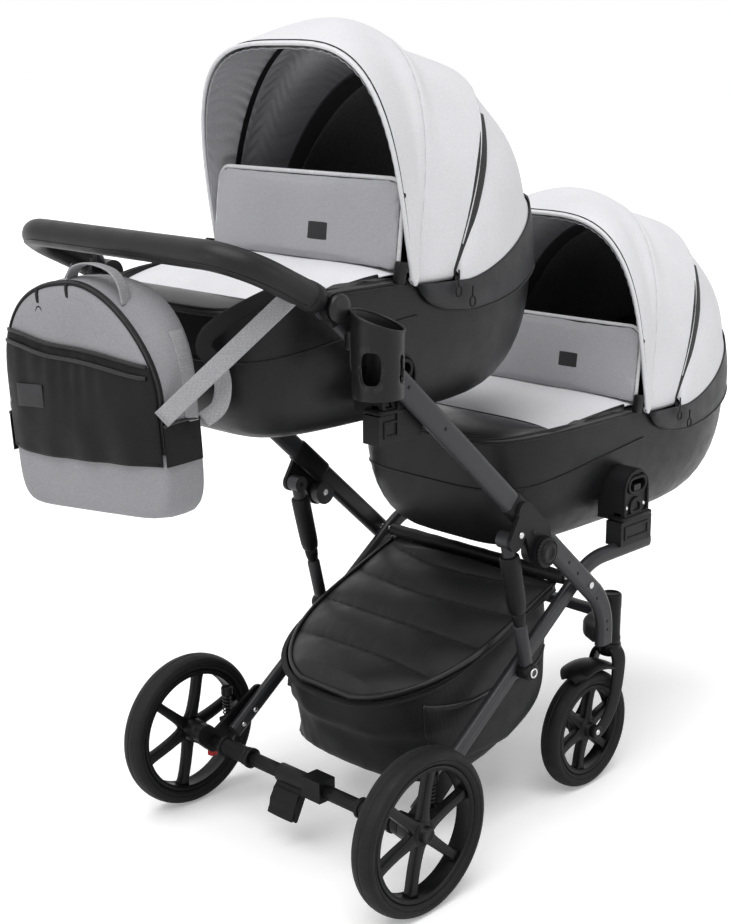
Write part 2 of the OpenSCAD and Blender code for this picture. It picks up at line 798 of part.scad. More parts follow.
module rear_rim(s) {
  color("#202123") wheel_at(s, rear_hub, rear_track)
    rim(rear_wheel_d, rear_tyre_w, stub_r + run_fit, rear_hub_in, rear_hub_out);
}

module rear_tyre_left() { rear_tyre(-1); }
module rear_rim_left() { rear_rim(-1); }
module rear_tyre_right() { rear_tyre(1); }
module rear_rim_right() { rear_rim(1); }

fork_gap = front_tyre_w / 2 + 4;
front_hub_half = fork_gap - rest_gap;

module front_tyre(s) {
  color("#161616") wheel_at(s, front_hub, front_track) tyre(front_wheel_d, front_tyre_w);
}

module front_rim(s) {
  color("#202123") wheel_at(s, front_hub, front_track) difference() {
    rim(front_wheel_d, front_tyre_w, pin_r + run_fit, front_hub_half, front_hub_half);
    cylinder(r = pin_r + run_fit, h = 2 * front_hub_half);
  }
}

module front_tyre_left() { front_tyre(-1); }
module front_rim_left() { front_rim(-1); }
module front_tyre_right() { front_tyre(1); }
module front_rim_right() { front_rim(1); }

crown_h = 26;
guard_gap = 7;
guard_t = 10;
crown_at = [swivel_y - 28, housing_z - rest_gap - crown_h];

module caster_fork(s) {
  guard_r = front_wheel_d / 2 + guard_gap;
  color("#1b1c1e") from_axle() on_side(s) {
    translate([caster_x, swivel_y, housing_z - rest_gap - crown_h]) {
      cylinder(r = housing_r + 1, h = crown_h);
      cylinder(r = stem_r, h = crown_h + housing_h * 0.6);
    }
    for (x = [caster_x - fork_gap - fork_t, caster_x + fork_gap]) side_slab(x, x + fork_t) hull() {
      translate(front_hub) circle(14);
      translate(crown_at) circle(17);
    }
    side_slab(caster_x - fork_gap - fork_t, caster_x + fork_gap + fork_t) hull() {
      translate(crown_at + [0, 4]) circle(12);
      translate([swivel_y - 4, crown_at[1] + 11]) circle(11);
    }
    side_arc(front_hub, guard_r, 62, 112) translate([0, caster_x - fork_gap])
      square([guard_t, 2 * fork_gap]);
    side_pin(front_hub, pin_r, caster_x - fork_gap - 2, caster_x + fork_gap + 2);
  }
}

module caster_fork_left() { caster_fork(-1); }
module caster_fork_right() { caster_fork(1); }

// Basket and its quilted lid

basket_top = cross_z - 4;
function basket_ring(inset, t) = let (
    s = pow(sin(90 * t), 0.7),
    rear = mix(132, 72, s), front = mix(332, lid_hinge[0] + 28, s),
    half = mix(0.8, 1, s) * basket_w / 2)
  oval(half - inset, (front - rear) / 2 - inset, 3, 40, (front + rear) / 2,
    mix(basket_z, basket_top, t) + (t == 0 ? inset : 0));

module lid_frame() {
  translate([0, lid_hinge[0], lid_hinge[1]]) rotate([lid_slope, 0, 0]) children();
}

module basket_body() {
  levels = [0, 0.04, 0.12, 0.25, 0.45, 0.7, 1];
  color("#1a1b1d") from_axle() difference() {
    union() {
      difference() {
        loft([for (t = levels) basket_ring(0, t)]);
        loft(concat([for (t = levels) basket_ring(basket_wall, t)],
          [oval(basket_w / 2 - basket_wall, 190, 3, 40, lid_hinge[0] - 162, basket_top + 5)]));
        lid_frame() translate([-basket_w, -1.5 * lid_l, -rest_gap]) cube([2 * basket_w, 2 * lid_l, lid_l]);
      }
      for (x = [-120, 90]) side_pin(cross_pivot, bolt_r + 5, x, x + 30);
      for (x = [-120, 90]) side_box(cross_pivot - [0, 12], [8, 12], x, x + 30);
    }
    side_pin(cross_pivot, bolt_r + run_fit, -300, 300);
  }
}

lid_round = lid_l * 0.45;
function lid_half(u) = (basket_w / 2 - 3) * pow(1 - pow(max(0, u - lid_round) / (lid_l + 12 - lid_round), 2.6), 1 / 2.6);
function lid_top(u, v) = 4 + (1 - pow(abs(v), 3)) * min(1, u / 40 + 0.2, (lid_l - u) / 40 + 0.2)
  * (lid_crown * (1 - v * v) + 7 * pow(abs(sin(180 * lid_panels * u / lid_l)), 0.6));
function lid_ring(u) = concat(
  [for (k = [6 : -1 : -6]) [lid_half(u) * k / 6, -u, lid_top(u, k / 6)]],
  [[-lid_half(u), -u, 0], [lid_half(u), -u, 0]]);

module basket_lid() {
  color("#202123") from_axle() lid_frame()
    loft([for (k = [0 : 6 * lid_panels]) lid_ring(lid_l * k / (6 * lid_panels))]);
}

// Carrycots: drawn about the hood pivot at the middle of the rim

upper_cot = [0, upper_cot_y, upper_cot_z];
lower_cot = [0, lower_cot_y, lower_cot_z];

module at_cot(place) {
  from_axle() translate(place) children();
}

cot_levels = [1, 0.96, 0.86, 0.7, 0.48, 0.22, 0];
function cot_swell(d) = sqrt(1 - pow(d, 2.6));
function cot_ring(grow, d, z) = oval(
  mix(0.5, 1, cot_swell(d)) * cot_w / 2 + grow,
  mix(0.62, 1, cot_swell(d)) * cot_l / 2 + grow, 2.7, 40, 0, z);

// The rim falls towards the foot end, and the shell below it follows less and less
dip_from = 130;
function foot_dip(y) = rim_dip * pow(max(0, (-y - dip_from) / (cot_l / 2 - dip_from)), 2);
function dipped(ring, share) = [for (p = ring) p - [0, 0, share * foot_dip(p[1])]];

module cot_solid(grow) {
  loft([for (d = cot_levels) cot_ring(grow, d, -d * cot_depth - (d > 0.5 ? grow : 0))]);
}

module cot_shell() {
  outer = [for (d = cot_levels) dipped(cot_ring(0, d, -d * cot_depth), 1 - d)];
  inner = [for (i = [len(cot_levels) - 1 : -1 : 0]) let (d = cot_levels[i])
    dipped(cot_ring(-cot_wall, d, -d * cot_depth + cot_wall * pow(d, 2)), 1 - d)];
  color("#1e1f21") loft(concat(outer, inner));
}

module mattress() {
  floor_z = -cot_depth + cot_wall + rest_gap;
  heights = [0, 0.28, 0.55, 0.85, 0.97, 1];
  wide = [0.94, 1.24, 1.4, 1.46, 1.1, 0.4];
  long = [0.94, 1.15, 1.24, 1.27, 0.95, 0.35];
  half_x = 0.5 * cot_w / 2 - cot_wall;
  half_y = 0.62 * cot_l / 2 - cot_wall;
  color("#d9dadc") loft([for (k = [0 : 5])
    oval(wide[k] * half_x, long[k] * half_y, 2.7, 32, 0, floor_z + heights[k] * mattress_t)]);
}

flap_y = -62;
apron_crown = 15;
apron_t = 4;
flap_z = apron_crown + 3 * rest_gap;

// Rings run from the middle of the underside out to the edge and back over the top
module apron_lens() {
  shares = [0.2, 0.6, 0.9, 1, 1, 0.9, 0.6, 0.2];
  heights = [1, 0.92, 0.6, 0, 0.2, 0.6, 0.92, 1];
  loft([for (k = [0 : 7]) dipped(
    oval(shares[k] * cot_w / 2, shares[k] * cot_l / 2, 2.7, 40, 0,
      heights[k] * apron_crown - (k < 3 ? apron_t : 0)), 1)]);
}

module apron() {
  color("#b9bcc2") translate([0, 0, rest_gap]) intersection() {
    apron_lens();
    translate([-cot_w, -cot_l, -2 * rim_dip]) cube([2 * cot_w, cot_l + flap_y + 10, 4 * rim_dip]);
  }
}

flap_bow = 1500;
flap_lean = 13;

module wind_flap() {
  half = asin(flap_w / 2 / flap_bow);
  color("#8f9299") translate([0, flap_y, flap_z]) rotate([flap_lean, 0, 0])
    translate([0, flap_bow, 0]) rotate([0, 0, -90 - half]) rotate_extrude(angle = 2 * half, $fn = 400)
      translate([flap_bow, 0]) polygon([
        [-0.5, 0], [0.5, 0], [4, 24], [5, flap_h / 2], [4, flap_h - 20], [2, flap_h],
        [-2, flap_h], [-4, flap_h - 20], [-5, flap_h / 2], [-4, 24]
      ]);
}

window_z = 66;
window_w = 46;
window_h = 22;
lever_w = 20;
lever_h = 11;

module receivers() {
  low = -receiver_drop;
  color("#131415") both_sides() difference() {
    side_slab(receiver_in, receiver_out) translate([-receiver_back, low]) {
      translate([-receiver_half, 0]) square([2 * receiver_half, receiver_h - receiver_half]);
      translate([0, receiver_h - receiver_half]) circle(receiver_half);
    }
    cot_solid(rest_gap);
    side_box([-receiver_back - 90, low + tongue_h / 2 - 1], [180 + tongue_l + 2, tongue_h + 4],
      leg_plane - tongue_half - 1, leg_plane + tongue_half + 1);
    side_slab(receiver_in - 1, receiver_out + 1) translate([-receiver_back, low + window_z])
      rotate(90) stadium(window_h, window_w);
  }
}

module cot_release() {
  lever_z = -receiver_drop + window_z - window_h / 2 + rest_gap + lever_h / 2;
  color("#2a2b2d") both_sides() side_box([-receiver_back, lever_z], [lever_w, lever_h],
    receiver_in + 20, receiver_out + 4);
}

// Hoods: panels are parts of one surface turned about the pivot line, each inside the last

hood_power = 2.9;
panel_step = hood_t + 0.8;
hood_turns = [-89, -81, -70, -57, -43, -29, -15, 0, 15, 29, 43, 57, 70, 81, 89];
function hood_line(inset) = [for (t = hood_turns)
  [(hood_r - inset) * pow(cos(t), 2 / hood_power), (hood_half_w - inset) * bend(sin(t), 2 / hood_power)]];
pivot_r = (hood_r - 2 * panel_step - hood_t) * pow(cos(89), 2 / hood_power) - rest_gap;

module hood_panel(layer, a0, a1) {
  outer = hood_line(layer * panel_step);
  inner = hood_line(layer * panel_step + hood_t);
  rotate([90, 0, 90]) rotate([0, 0, a0]) rotate_extrude(angle = a1 - a0, $fn = 96)
    polygon(concat(outer, [for (i = [len(inner) - 1 : -1 : 0]) inner[i]]));
}

module hood_front_panel() {
  color("#cfd1d6") hood_panel(0, hood_seam, hood_front);
}

module hood_middle_panel() {
  color("#c9cbd0") hood_panel(1, hood_zip, hood_seam + 2);
}

module hood_rear_panel() {
  color("#c6c8cd") hood_panel(2, 3, hood_zip + 2);
}

module hood_skirt() {
  skirt_low = -9;
  skirt_from = 300;
  band_from = -92;
  band_to = 330;
  band_h = 44;
  band_t = 3;
  color("#3d3f43") {
    difference() {
      hood_panel(2 - (hood_t + rest_gap) / panel_step, skirt_low, skirt_top);
      translate([-cot_w, -cot_l, -cot_depth]) cube([2 * cot_w, cot_l + skirt_from, 2 * cot_depth]);
    }
    both_sides() intersection() {
      difference() {
        loft([for (d = [band_h / cot_depth, 1 / cot_depth])
          cot_ring(rest_gap + band_t, d, -d * cot_depth)]);
        cot_solid(rest_gap);
      }
      translate([0, band_from, -cot_depth]) cube([cot_w, band_to - band_from, cot_depth]);
    }
    both_sides() intersection() {
      side_pin([0, 0], pivot_r, cot_w / 2 - 16, hood_half_w + 2);
      translate([0, -pivot_r, rest_gap]) cube([cot_w, 2 * pivot_r, pivot_r]);
    }
  }
}

module upper_cot_shell() { at_cot(upper_cot) cot_shell(); }
module upper_mattress() { at_cot(upper_cot) mattress(); }
module upper_apron() { at_cot(upper_cot) apron(); }
module upper_receivers() { at_cot(upper_cot) receivers(); }
module upper_hood_rear() { at_cot(upper_cot) hood_rear_panel(); }
module upper_hood_skirt() { at_cot(upper_cot) hood_skirt(); }
module upper_hood_middle() { at_cot(upper_cot) hood_middle_panel(); }
module upper_hood_front() { at_cot(upper_cot) hood_front_panel(); }
module upper_wind_flap() { at_cot(upper_cot) wind_flap(); }
module upper_cot_release() { at_cot(upper_cot) cot_release(); }
module lower_cot_shell() { at_cot(lower_cot) cot_shell(); }
module lower_mattress() { at_cot(lower_cot) mattress(); }
module lower_apron() { at_cot(lower_cot) apron(); }
module lower_receivers() { at_cot(lower_cot) receivers(); }
module lower_hood_rear() { at_cot(lower_cot) hood_rear_panel(); }
module lower_hood_skirt() { at_cot(lower_cot) hood_skirt(); }
module lower_hood_middle() { at_cot(lower_cot) hood_middle_panel(); }
module lower_hood_front() { at_cot(lower_cot) hood_front_panel(); }
module lower_wind_flap() { at_cot(lower_cot) wind_flap(); }
module lower_cot_release() { at_cot(lower_cot) cot_release(); }

lower_tube_left();
lower_tube_right();
front_crossbar();
caster_housings();
pivot_bolts();
basket_body();
basket_lid();
upper_tube_left();
upper_tube_right();
fold_knuckles();
upper_adapters();
cup_holder();
rear_leg_left();
rear_leg_right();
rear_axle();
rear_brackets();
suspension_springs();
lower_adapters();
strut_sleeves();
strut_rods();
handle_grip();
handle_lugs();
handle_button_left();
handle_button_right();
bag_body();
bag_straps();
rear_tyre_left();
rear_rim_left();
rear_tyre_right();
rear_rim_right();
caster_fork_left();
caster_fork_right();
front_tyre_left();
front_rim_left();
front_tyre_right();
front_rim_right();
brake_pedal();
release_button_left();
release_button_right();
upper_cot_shell();
upper_mattress();
upper_apron();
upper_receivers();
upper_hood_rear();
upper_hood_skirt();
upper_hood_middle();
upper_hood_front();
upper_wind_flap();
upper_cot_release();
lower_cot_shell();
lower_mattress();
lower_apron();
lower_receivers();
lower_hood_rear();
lower_hood_skirt();
lower_hood_middle();
lower_hood_front();
lower_wind_flap();
lower_cot_release();
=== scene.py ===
from math import asin, cos, copysign, exp, hypot, pi, radians, sin, sqrt

import bmesh
import bpy
from mathutils import Matrix, Vector


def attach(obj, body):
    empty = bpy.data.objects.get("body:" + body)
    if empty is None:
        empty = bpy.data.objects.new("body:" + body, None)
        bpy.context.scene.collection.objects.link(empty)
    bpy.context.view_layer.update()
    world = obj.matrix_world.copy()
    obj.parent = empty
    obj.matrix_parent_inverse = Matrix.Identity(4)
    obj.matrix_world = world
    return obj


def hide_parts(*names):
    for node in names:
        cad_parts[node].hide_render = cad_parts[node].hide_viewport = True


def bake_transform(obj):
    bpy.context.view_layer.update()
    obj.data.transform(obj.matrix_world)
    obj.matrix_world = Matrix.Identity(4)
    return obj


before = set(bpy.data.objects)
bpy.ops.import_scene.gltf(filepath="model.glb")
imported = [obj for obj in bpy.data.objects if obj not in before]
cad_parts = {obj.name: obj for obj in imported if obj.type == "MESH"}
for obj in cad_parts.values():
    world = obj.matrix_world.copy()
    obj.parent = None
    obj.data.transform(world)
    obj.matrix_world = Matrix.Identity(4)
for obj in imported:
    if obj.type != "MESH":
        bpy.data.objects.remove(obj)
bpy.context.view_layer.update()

# Camera and studio
# The camera stands behind the pram, off its right hand, a little above the rim of the upper cot.
# A pale floor in a white room, wide soft light from above and two soft lamps at the sides.
scene = bpy.context.scene
hubs_behind = 390


def spot(x, y, z):
    """A point from millimetres: x to the right, y ahead of the rear hubs, z above the ground."""
    return Vector((x, y - hubs_behind, z)) / 1000


azimuth, elevation, roll = radians(44.7), radians(14.9), radians(-0.4)
back = Vector((sin(azimuth) * cos(elevation), -cos(azimuth) * cos(elevation), sin(elevation)))
right = Vector((cos(azimuth), sin(azimuth), 0))
up = back.cross(right)
sensor, focal_pixels, picture_tall = 36, 1600.6, 924
camera_aim, camera_away = spot(0, 178.8, 684.8), 2.8137
camera_data = bpy.data.cameras.new("camera")
camera_data.sensor_width = sensor
camera_data.lens = focal_pixels * sensor / picture_tall
camera_data.clip_end = 50
camera = bpy.data.objects.new("camera", camera_data)
turned_right = right * cos(roll) + up * sin(roll)
turned_up = up * cos(roll) - right * sin(roll)
camera.matrix_world = Matrix((turned_right, turned_up, back)).transposed().to_4x4()
camera.location = camera_aim + back * camera_away
scene.collection.objects.link(camera)
scene.camera = camera
scene.view_settings.view_transform = "Standard"

world = bpy.data.worlds.new("white room")
scene.world = world
world.use_nodes = True
room = world.node_tree
white = (1, 1, 1, 1)


def fill(tree, node, values):
    """Sets a node's inputs, and links those that are given another node's output."""
    for socket, value in values.items():
        if hasattr(value, "is_output"):
            tree.links.new(value, node.inputs[socket])
        else:
            node.inputs[socket].default_value = value
    return node


def add_node(tree, kind, values, **settings):
    """A new node with its settings and inputs."""
    node = tree.nodes.new(kind)
    for name, value in settings.items():
        setattr(node, name, value)
    return fill(tree, node, values)


def seen_by(tree, *kinds):
    """A value that is 1 for the kinds of ray named, and 0 for all others."""
    path = tree.nodes.new("ShaderNodeLightPath")
    value = path.outputs[kinds[0]]
    for kind in kinds[1:]:
        either = add_node(tree, "ShaderNodeMath", {0: value, 1: path.outputs[kind]}, operation="MAXIMUM")
        value = either.outputs[0]
    return value


glow = fill(room, room.nodes["Background"], {"Color": white, "Strength": 0.42})
wall = add_node(room, "ShaderNodeBackground", {"Color": white, "Strength": 1.0})
plain_view = seen_by(room, "Is Camera Ray", "Is Glossy Ray", "Is Transmission Ray")
shown = add_node(room, "ShaderNodeMixShader", {0: plain_view, 1: glow.outputs[0], 2: wall.outputs[0]})
fill(room, room.nodes["World Output"], {"Surface": shown.outputs[0]})


def lamp(name, kind, place, aim, size, power):
    data = bpy.data.lights.new(name, kind)
    if kind == "SUN":
        data.angle = radians(size)
    else:
        data.shape = "DISK"
        data.size = size
    data.energy = power
    lamp_object = bpy.data.objects.new(name, data)
    lamp_object.location = place
    lamp_object.rotation_euler = (Vector(place) - Vector(aim)).to_track_quat("Z", "Y").to_euler()
    scene.collection.objects.link(lamp_object)


lamp("top light", "SUN", (0.3, -1.1, 3.0), (0, 0, 0), 55, 2.6)
lamp("right lamp", "AREA", (3.6, 0.9, 1.9), (0, 0, 0.7), 1.6, 12)
lamp("rear lamp", "AREA", (-0.6, -4.2, 1.5), (0, 0, 0.6), 1.6, 16)

floor_mesh = bpy.data.meshes.new("floor")
floor_corners = [(30 * x, 30 * y, 0) for x, y in ((-1, -1), (1, -1), (1, 1), (-1, 1))]
floor_mesh.from_pydata(floor_corners, [], [(0, 1, 2, 3)])
floor = bpy.data.objects.new("floor", floor_mesh)
scene.collection.objects.link(floor)
floor_look = bpy.data.materials.new("floor")
floor_look.use_nodes = True
floor_tree = floor_look.node_tree
seen = seen_by(floor_tree, "Is Camera Ray")
paler = add_node(floor_tree, "ShaderNodeMath", {0: seen, 1: 0.24}, operation="MULTIPLY")
fill(floor_tree, floor_tree.nodes["Principled BSDF"], {
    "Base Color": (0.95, 0.95, 0.95, 1), "Roughness": 0.9,
    "Emission Color": white, "Emission Strength": paler.outputs[0]})
floor_mesh.materials.append(floor_look)


def look(name, colour, rough, fleck=0.15, fleck_size=4, grain=0.1, grain_size=1, cells=False,
         metal=0.0, sheen=0.0, worn=0.0, weave=0.0, weave_size=1.6, gloss=0.5):
    """A finish: colour with flecks, uneven roughness, and grain or weave raised from it; sizes in mm.
    """
    made = bpy.data.materials.new(name)
    made.use_nodes = True
    tree = made.node_tree
    where = tree.nodes.new("ShaderNodeTexCoord").outputs["Object"]

    def noise(size, detail=3.0):
        values = {"Scale": 1000 / size, "Detail": detail, "Vector": where}
        return add_node(tree, "ShaderNodeTexNoise", values).outputs["Fac"]

    def ramp(value, low, high, start=0.3, stop=0.7):
        values = {"Value": value, "From Min": start, "From Max": stop, "To Min": low, "To Max": high}
        return add_node(tree, "ShaderNodeMapRange", values).outputs["Result"]

    def blend(kind, factor, first, second):
        values = {0: factor, 6: first, 7: second}
        return add_node(tree, "ShaderNodeMix", values, data_type="RGBA", blend_type=kind).outputs[2]

    def shade(share, lift=0.0):
        return [min(1, c * share + lift) for c in colour] + [1]

    tone = blend("MIX", ramp(noise(fleck_size), 0, 1), shade(1 - fleck), shade(1 + fleck))
    broad = blend("MIX", ramp(noise(160, 2), 0, 1), (0.92, 0.92, 0.92, 1), white)
    tone = blend("MULTIPLY", 1.0, tone, broad)
    if weave:
        threads = {"Scale": 1000 / weave_size / 6.3, "Distortion": 1.2, "Detail": 1.0, "Vector": where}
        across, down = [add_node(tree, "ShaderNodeTexWave", threads, bands_direction=axis).outputs["Fac"]
                        for axis in ("X", "Z")]
        height = add_node(tree, "ShaderNodeMath", {0: across, 1: down}, operation="MULTIPLY").outputs[0]
        low = 1 - weave
        tone = blend("MULTIPLY", 1.0, tone, blend("MIX", height, (low, low, low, 1), white))
    elif cells:
        values = {"Scale": 1000 / grain_size, "Vector": where}
        height = add_node(tree, "ShaderNodeTexVoronoi", values).outputs["Distance"]
    else:
        height = noise(grain_size, 4)
    if worn:
        edge = tree.nodes.new("ShaderNodeNewGeometry").outputs["Pointiness"]
        tone = blend("MIX", ramp(edge, 0, worn, 0.53, 0.62), tone, shade(2.5, 0.04))
    bump = add_node(tree, "ShaderNodeBump", {"Strength": grain, "Distance": 0.001, "Height": height})
    values = {"Metallic": metal, "Specular IOR Level": gloss, "Base Color": tone,
              "Roughness": ramp(noise(30), rough - 0.06, rough + 0.06), "Normal": bump.outputs["Normal"]}
    if sheen:
        values.update({"Sheen Weight": sheen, "Sheen Roughness": 0.5})
    fill(tree, tree.nodes["Principled BSDF"], values)
    return made


tube_paint = look("tube paint", (0.028, 0.0285, 0.031), 0.36, fleck=0.12, fleck_size=0.8, grain=0.04,
                  metal=0.2, worn=0.15, gloss=0.28)
hard_plastic = look("hard plastic", (0.006, 0.0062, 0.007), 0.42, fleck=0.1, grain=0.14, grain_size=0.8,
                    worn=0.1, gloss=0.16)
bolt_steel = look("bolt steel", (0.62, 0.62, 0.63), 0.28, fleck=0.08, fleck_size=1.5, grain=0.05, metal=1.0)


def soften_edges(item, width, angle):
    """Rounds the edges sharper than an angle by a width in mm."""
    rounding = item.modifiers.new("rounding", "BEVEL")
    rounding.width = width / 1000
    rounding.segments = 3
    rounding.limit_method = "ANGLE"
    rounding.angle_limit = radians(angle)
    rounding.harden_normals = True


def smooth_over(item, levels):
    """Subdivides a piece into a smoother one."""
    smoothing = item.modifiers.new("smoothing", "SUBSURF")
    smoothing.levels = levels
    smoothing.render_levels = levels


def dress(node, finish, soften=0.0):
    """Gives a frame node its finish, with its hard edges rounded by soften millimetres."""
    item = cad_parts[node]
    item.data.materials.clear()
    item.data.materials.append(finish)
    if soften:
        soften_edges(item, soften, 40)


def grid(rows, ring=False, caps=False, leave=None):
    """Points and faces of a skin over rows of equal count; leave names the faces left out."""
    count = len(rows[0])
    points = [p for row in rows for p in row]
    faces = []
    for k in range(len(rows) - 1):
        for i in range(count if ring else count - 1):
            if leave and leave(k, i):
                continue
            j = (i + 1) % count
            faces.append((k * count + i, k * count + j, k * count + count + j, k * count + count + i))
    if caps:
        faces.append(tuple(range(count))[::-1])
        faces.append(tuple(range((len(rows) - 1) * count, len(rows) * count)))
    return points, faces


def piece(name, shape, body, finish=hard_plastic, replaces=(), thick=0.0, soften=0.0,
          smooth=0):
    """A mesh object in its finish that rides on a body; thick is a sheet's thickness in mm."""
    points, faces = shape
    mesh = bpy.data.meshes.new(name)
    mesh.from_pydata([tuple(p) for p in points], [], faces)
    work = bmesh.new()
    work.from_mesh(mesh)
    bmesh.ops.remove_doubles(work, verts=work.verts, dist=1e-6)
    loose = [v for v in work.verts if not v.link_faces]
    bmesh.ops.delete(work, geom=loose, context="VERTS")
    bmesh.ops.recalc_face_normals(work, faces=work.faces)
    work.to_mesh(mesh)
    work.free()
    for polygon in mesh.polygons:
        polygon.use_smooth = True
    mesh.materials.append(finish)
    item = bpy.data.objects.new(name, mesh)
    scene.collection.objects.link(item)
    if thick:
        skin = item.modifiers.new("thickness", "SOLIDIFY")
        skin.thickness = thick / 1000
        skin.offset = 0
    if soften:
        soften_edges(item, soften, 35)
    if smooth:
        smooth_over(item, smooth)
    if body:
        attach(item, body)
    if replaces:
        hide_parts(*replaces)
    return item


def turns(count):
    """Angles spaced evenly round a full turn."""
    return [2 * pi * i / count for i in range(count)]


def evenly(count):
    """An odd number of values spaced evenly from -1 to 1."""
    return [i / (count // 2) - 1 for i in range(count)]


def shares(count):
    """Values spaced evenly from 0 to 1."""
    return [i / (count - 1) for i in range(count)]


def bent(value, power):
    """A sine or cosine bent so that a round outline grows square as the power rises."""
    return copysign(abs(value) ** (2 / power), value)


def lathe(profile, centre, axis="X", count=64, side=1, flute=None):
    """Rows of a turned form: profile holds (radius, distance along the axis) in mm, centre is in mm."""
    rows = []
    for radius, along in profile:
        row = []
        for i in range(count):
            a = 2 * pi * i / count
            r = radius * (flute(i, radius) if flute else 1)
            if axis == "X":
                row.append(spot(centre[0] + side * along, centre[1] + r * cos(a), centre[2] + r * sin(a)))
            else:
                row.append(spot(centre[0] + r * cos(a), centre[1] + r * sin(a), centre[2] + along))
        rows.append(row)
    return rows


def turned(name, profile, centre, body, finish=hard_plastic, axis="X", count=64, side=1,
           replaces=(), flute=None):
    """A turned piece, closed at both ends."""
    return piece(name, grid(lathe(profile, centre, axis, count, side, flute), ring=True, caps=True), body,
                 finish, replaces)


def sweep(path, section, up_way, scale=None):
    """Rows of a section, given as (across, up) in metres, carried along a path in metres."""
    rows = []
    up_now = Vector(up_way).normalized()
    for i, p in enumerate(path):
        way = (path[min(i + 1, len(path) - 1)] - path[max(i - 1, 0)]).normalized()
        up_now = (up_now - way * up_now.dot(way)).normalized()
        across = way.cross(up_now)
        s = scale[i] if scale else 1
        rows.append([p + across * (a * s) + up_now * (b * s) for a, b in section])
    return rows


def oval(wide, tall, power=2.0, count=12):
    """Section of a cord, bar or web from its full width and height in mm."""
    line = []
    for i in range(count):
        c, s = cos(2 * pi * i / count), sin(2 * pi * i / count)
        line.append((wide / 2000 * bent(c, power), tall / 2000 * bent(s, power)))
    return line


def strand(name, path, wide, tall, body, finish=hard_plastic, up_way=(0, 0, 1), power=2.0,
           count=12, scale=None, closed=False, replaces=()):
    """A bar, cord or web of one section along a path."""
    rows = sweep(path, oval(wide, tall, power, count), up_way, scale)
    if closed:
        return piece(name, grid(rows + [rows[0]], ring=True), body, finish, replaces)
    return piece(name, grid(rows, ring=True, caps=True), body, finish, replaces)


def curve_through(points, steps=8):
    """A smooth line through points."""
    line = []
    last = len(points) - 1
    for i in range(last):
        p0, p1, p2, p3 = points[max(i - 1, 0)], points[i], points[i + 1], points[min(i + 2, last)]
        for k in range(steps):
            t = k / steps
            line.append(0.5 * (2 * p1 + (p2 - p0) * t + (2 * p0 - 5 * p1 + 4 * p2 - p3) * t * t
                               + (3 * p1 - p0 - 3 * p2 + p3) * t * t * t))
    line.append(points[-1].copy())
    return line


def rivet(name, place, side, radius, height, body, finish=hard_plastic):
    """A domed head on a face across the pram; place is in mm."""
    steps = 5
    profile = [(radius * cos(pi / 2 * k / steps), height * sin(pi / 2 * k / steps)) for k in range(steps)]
    return turned(name, [(radius, -0.8)] + profile + [(0.05, height)], place, body, finish, count=20,
                  side=side)


sides = ((-1, "left"), (1, "right"))
tube_x, tube_face = 264, 273.8
for tube in ("upper_tube_left", "upper_tube_right", "lower_tube_left", "lower_tube_right",
             "rear_leg_left", "rear_leg_right"):
    dress(tube, tube_paint, 0.8)
for side, word in sides:
    for k, (y, z) in enumerate(((414, 505), (440, 478), (500, 415), (533, 362), (535, 345))):
        rivet(f"lower_tube_rivet_{word}_{k}", (side * tube_face, y, z), side, 3.4, 1.4, "chassis")
    for k, (y, z) in enumerate(((-2, 900), (83, 819))):
        rivet(f"upper_tube_rivet_{word}_{k}", (side * tube_face, y, z - 12), side, 3.6, 1.4, "push_frame")

# Fold knuckles and struts
# Glass-filled nylon forgings joint the upper and lower tubes; a ribbed dial locks them.
# Each strut is a sleeve over a thinner rod, with an eye and a bolt at both ends.
dress("fold_knuckles", hard_plastic, 2.4)
dress("pivot_bolts", bolt_steel, 0.6)
dress("strut_sleeves", tube_paint, 1.0)
dress("strut_rods", tube_paint, 1.0)
pivot_y, pivot_z, tube_run, tube_fall = -160, 1031, 0.7371, 0.6758


def on_tube(s, h=0.0):
    """Distance ahead and height of a point s along the main tube from the handle pivot, h above it."""
    return pivot_y + tube_run * s + tube_fall * h, pivot_z - tube_fall * s + tube_run * h


def on_strut(side, stations):
    """Points down a strut's middle line, at stations in mm from its upper eye."""
    return [spot(side * 260.5, 254.86 + 0.2337 * s, 580.17 - 0.9723 * s) for s in stations]


def dial_rib(i, radius):
    """Draws in every other pair of points on the dial's outer edge."""
    return 0.96 if radius > 25 and i % 4 < 2 else 1


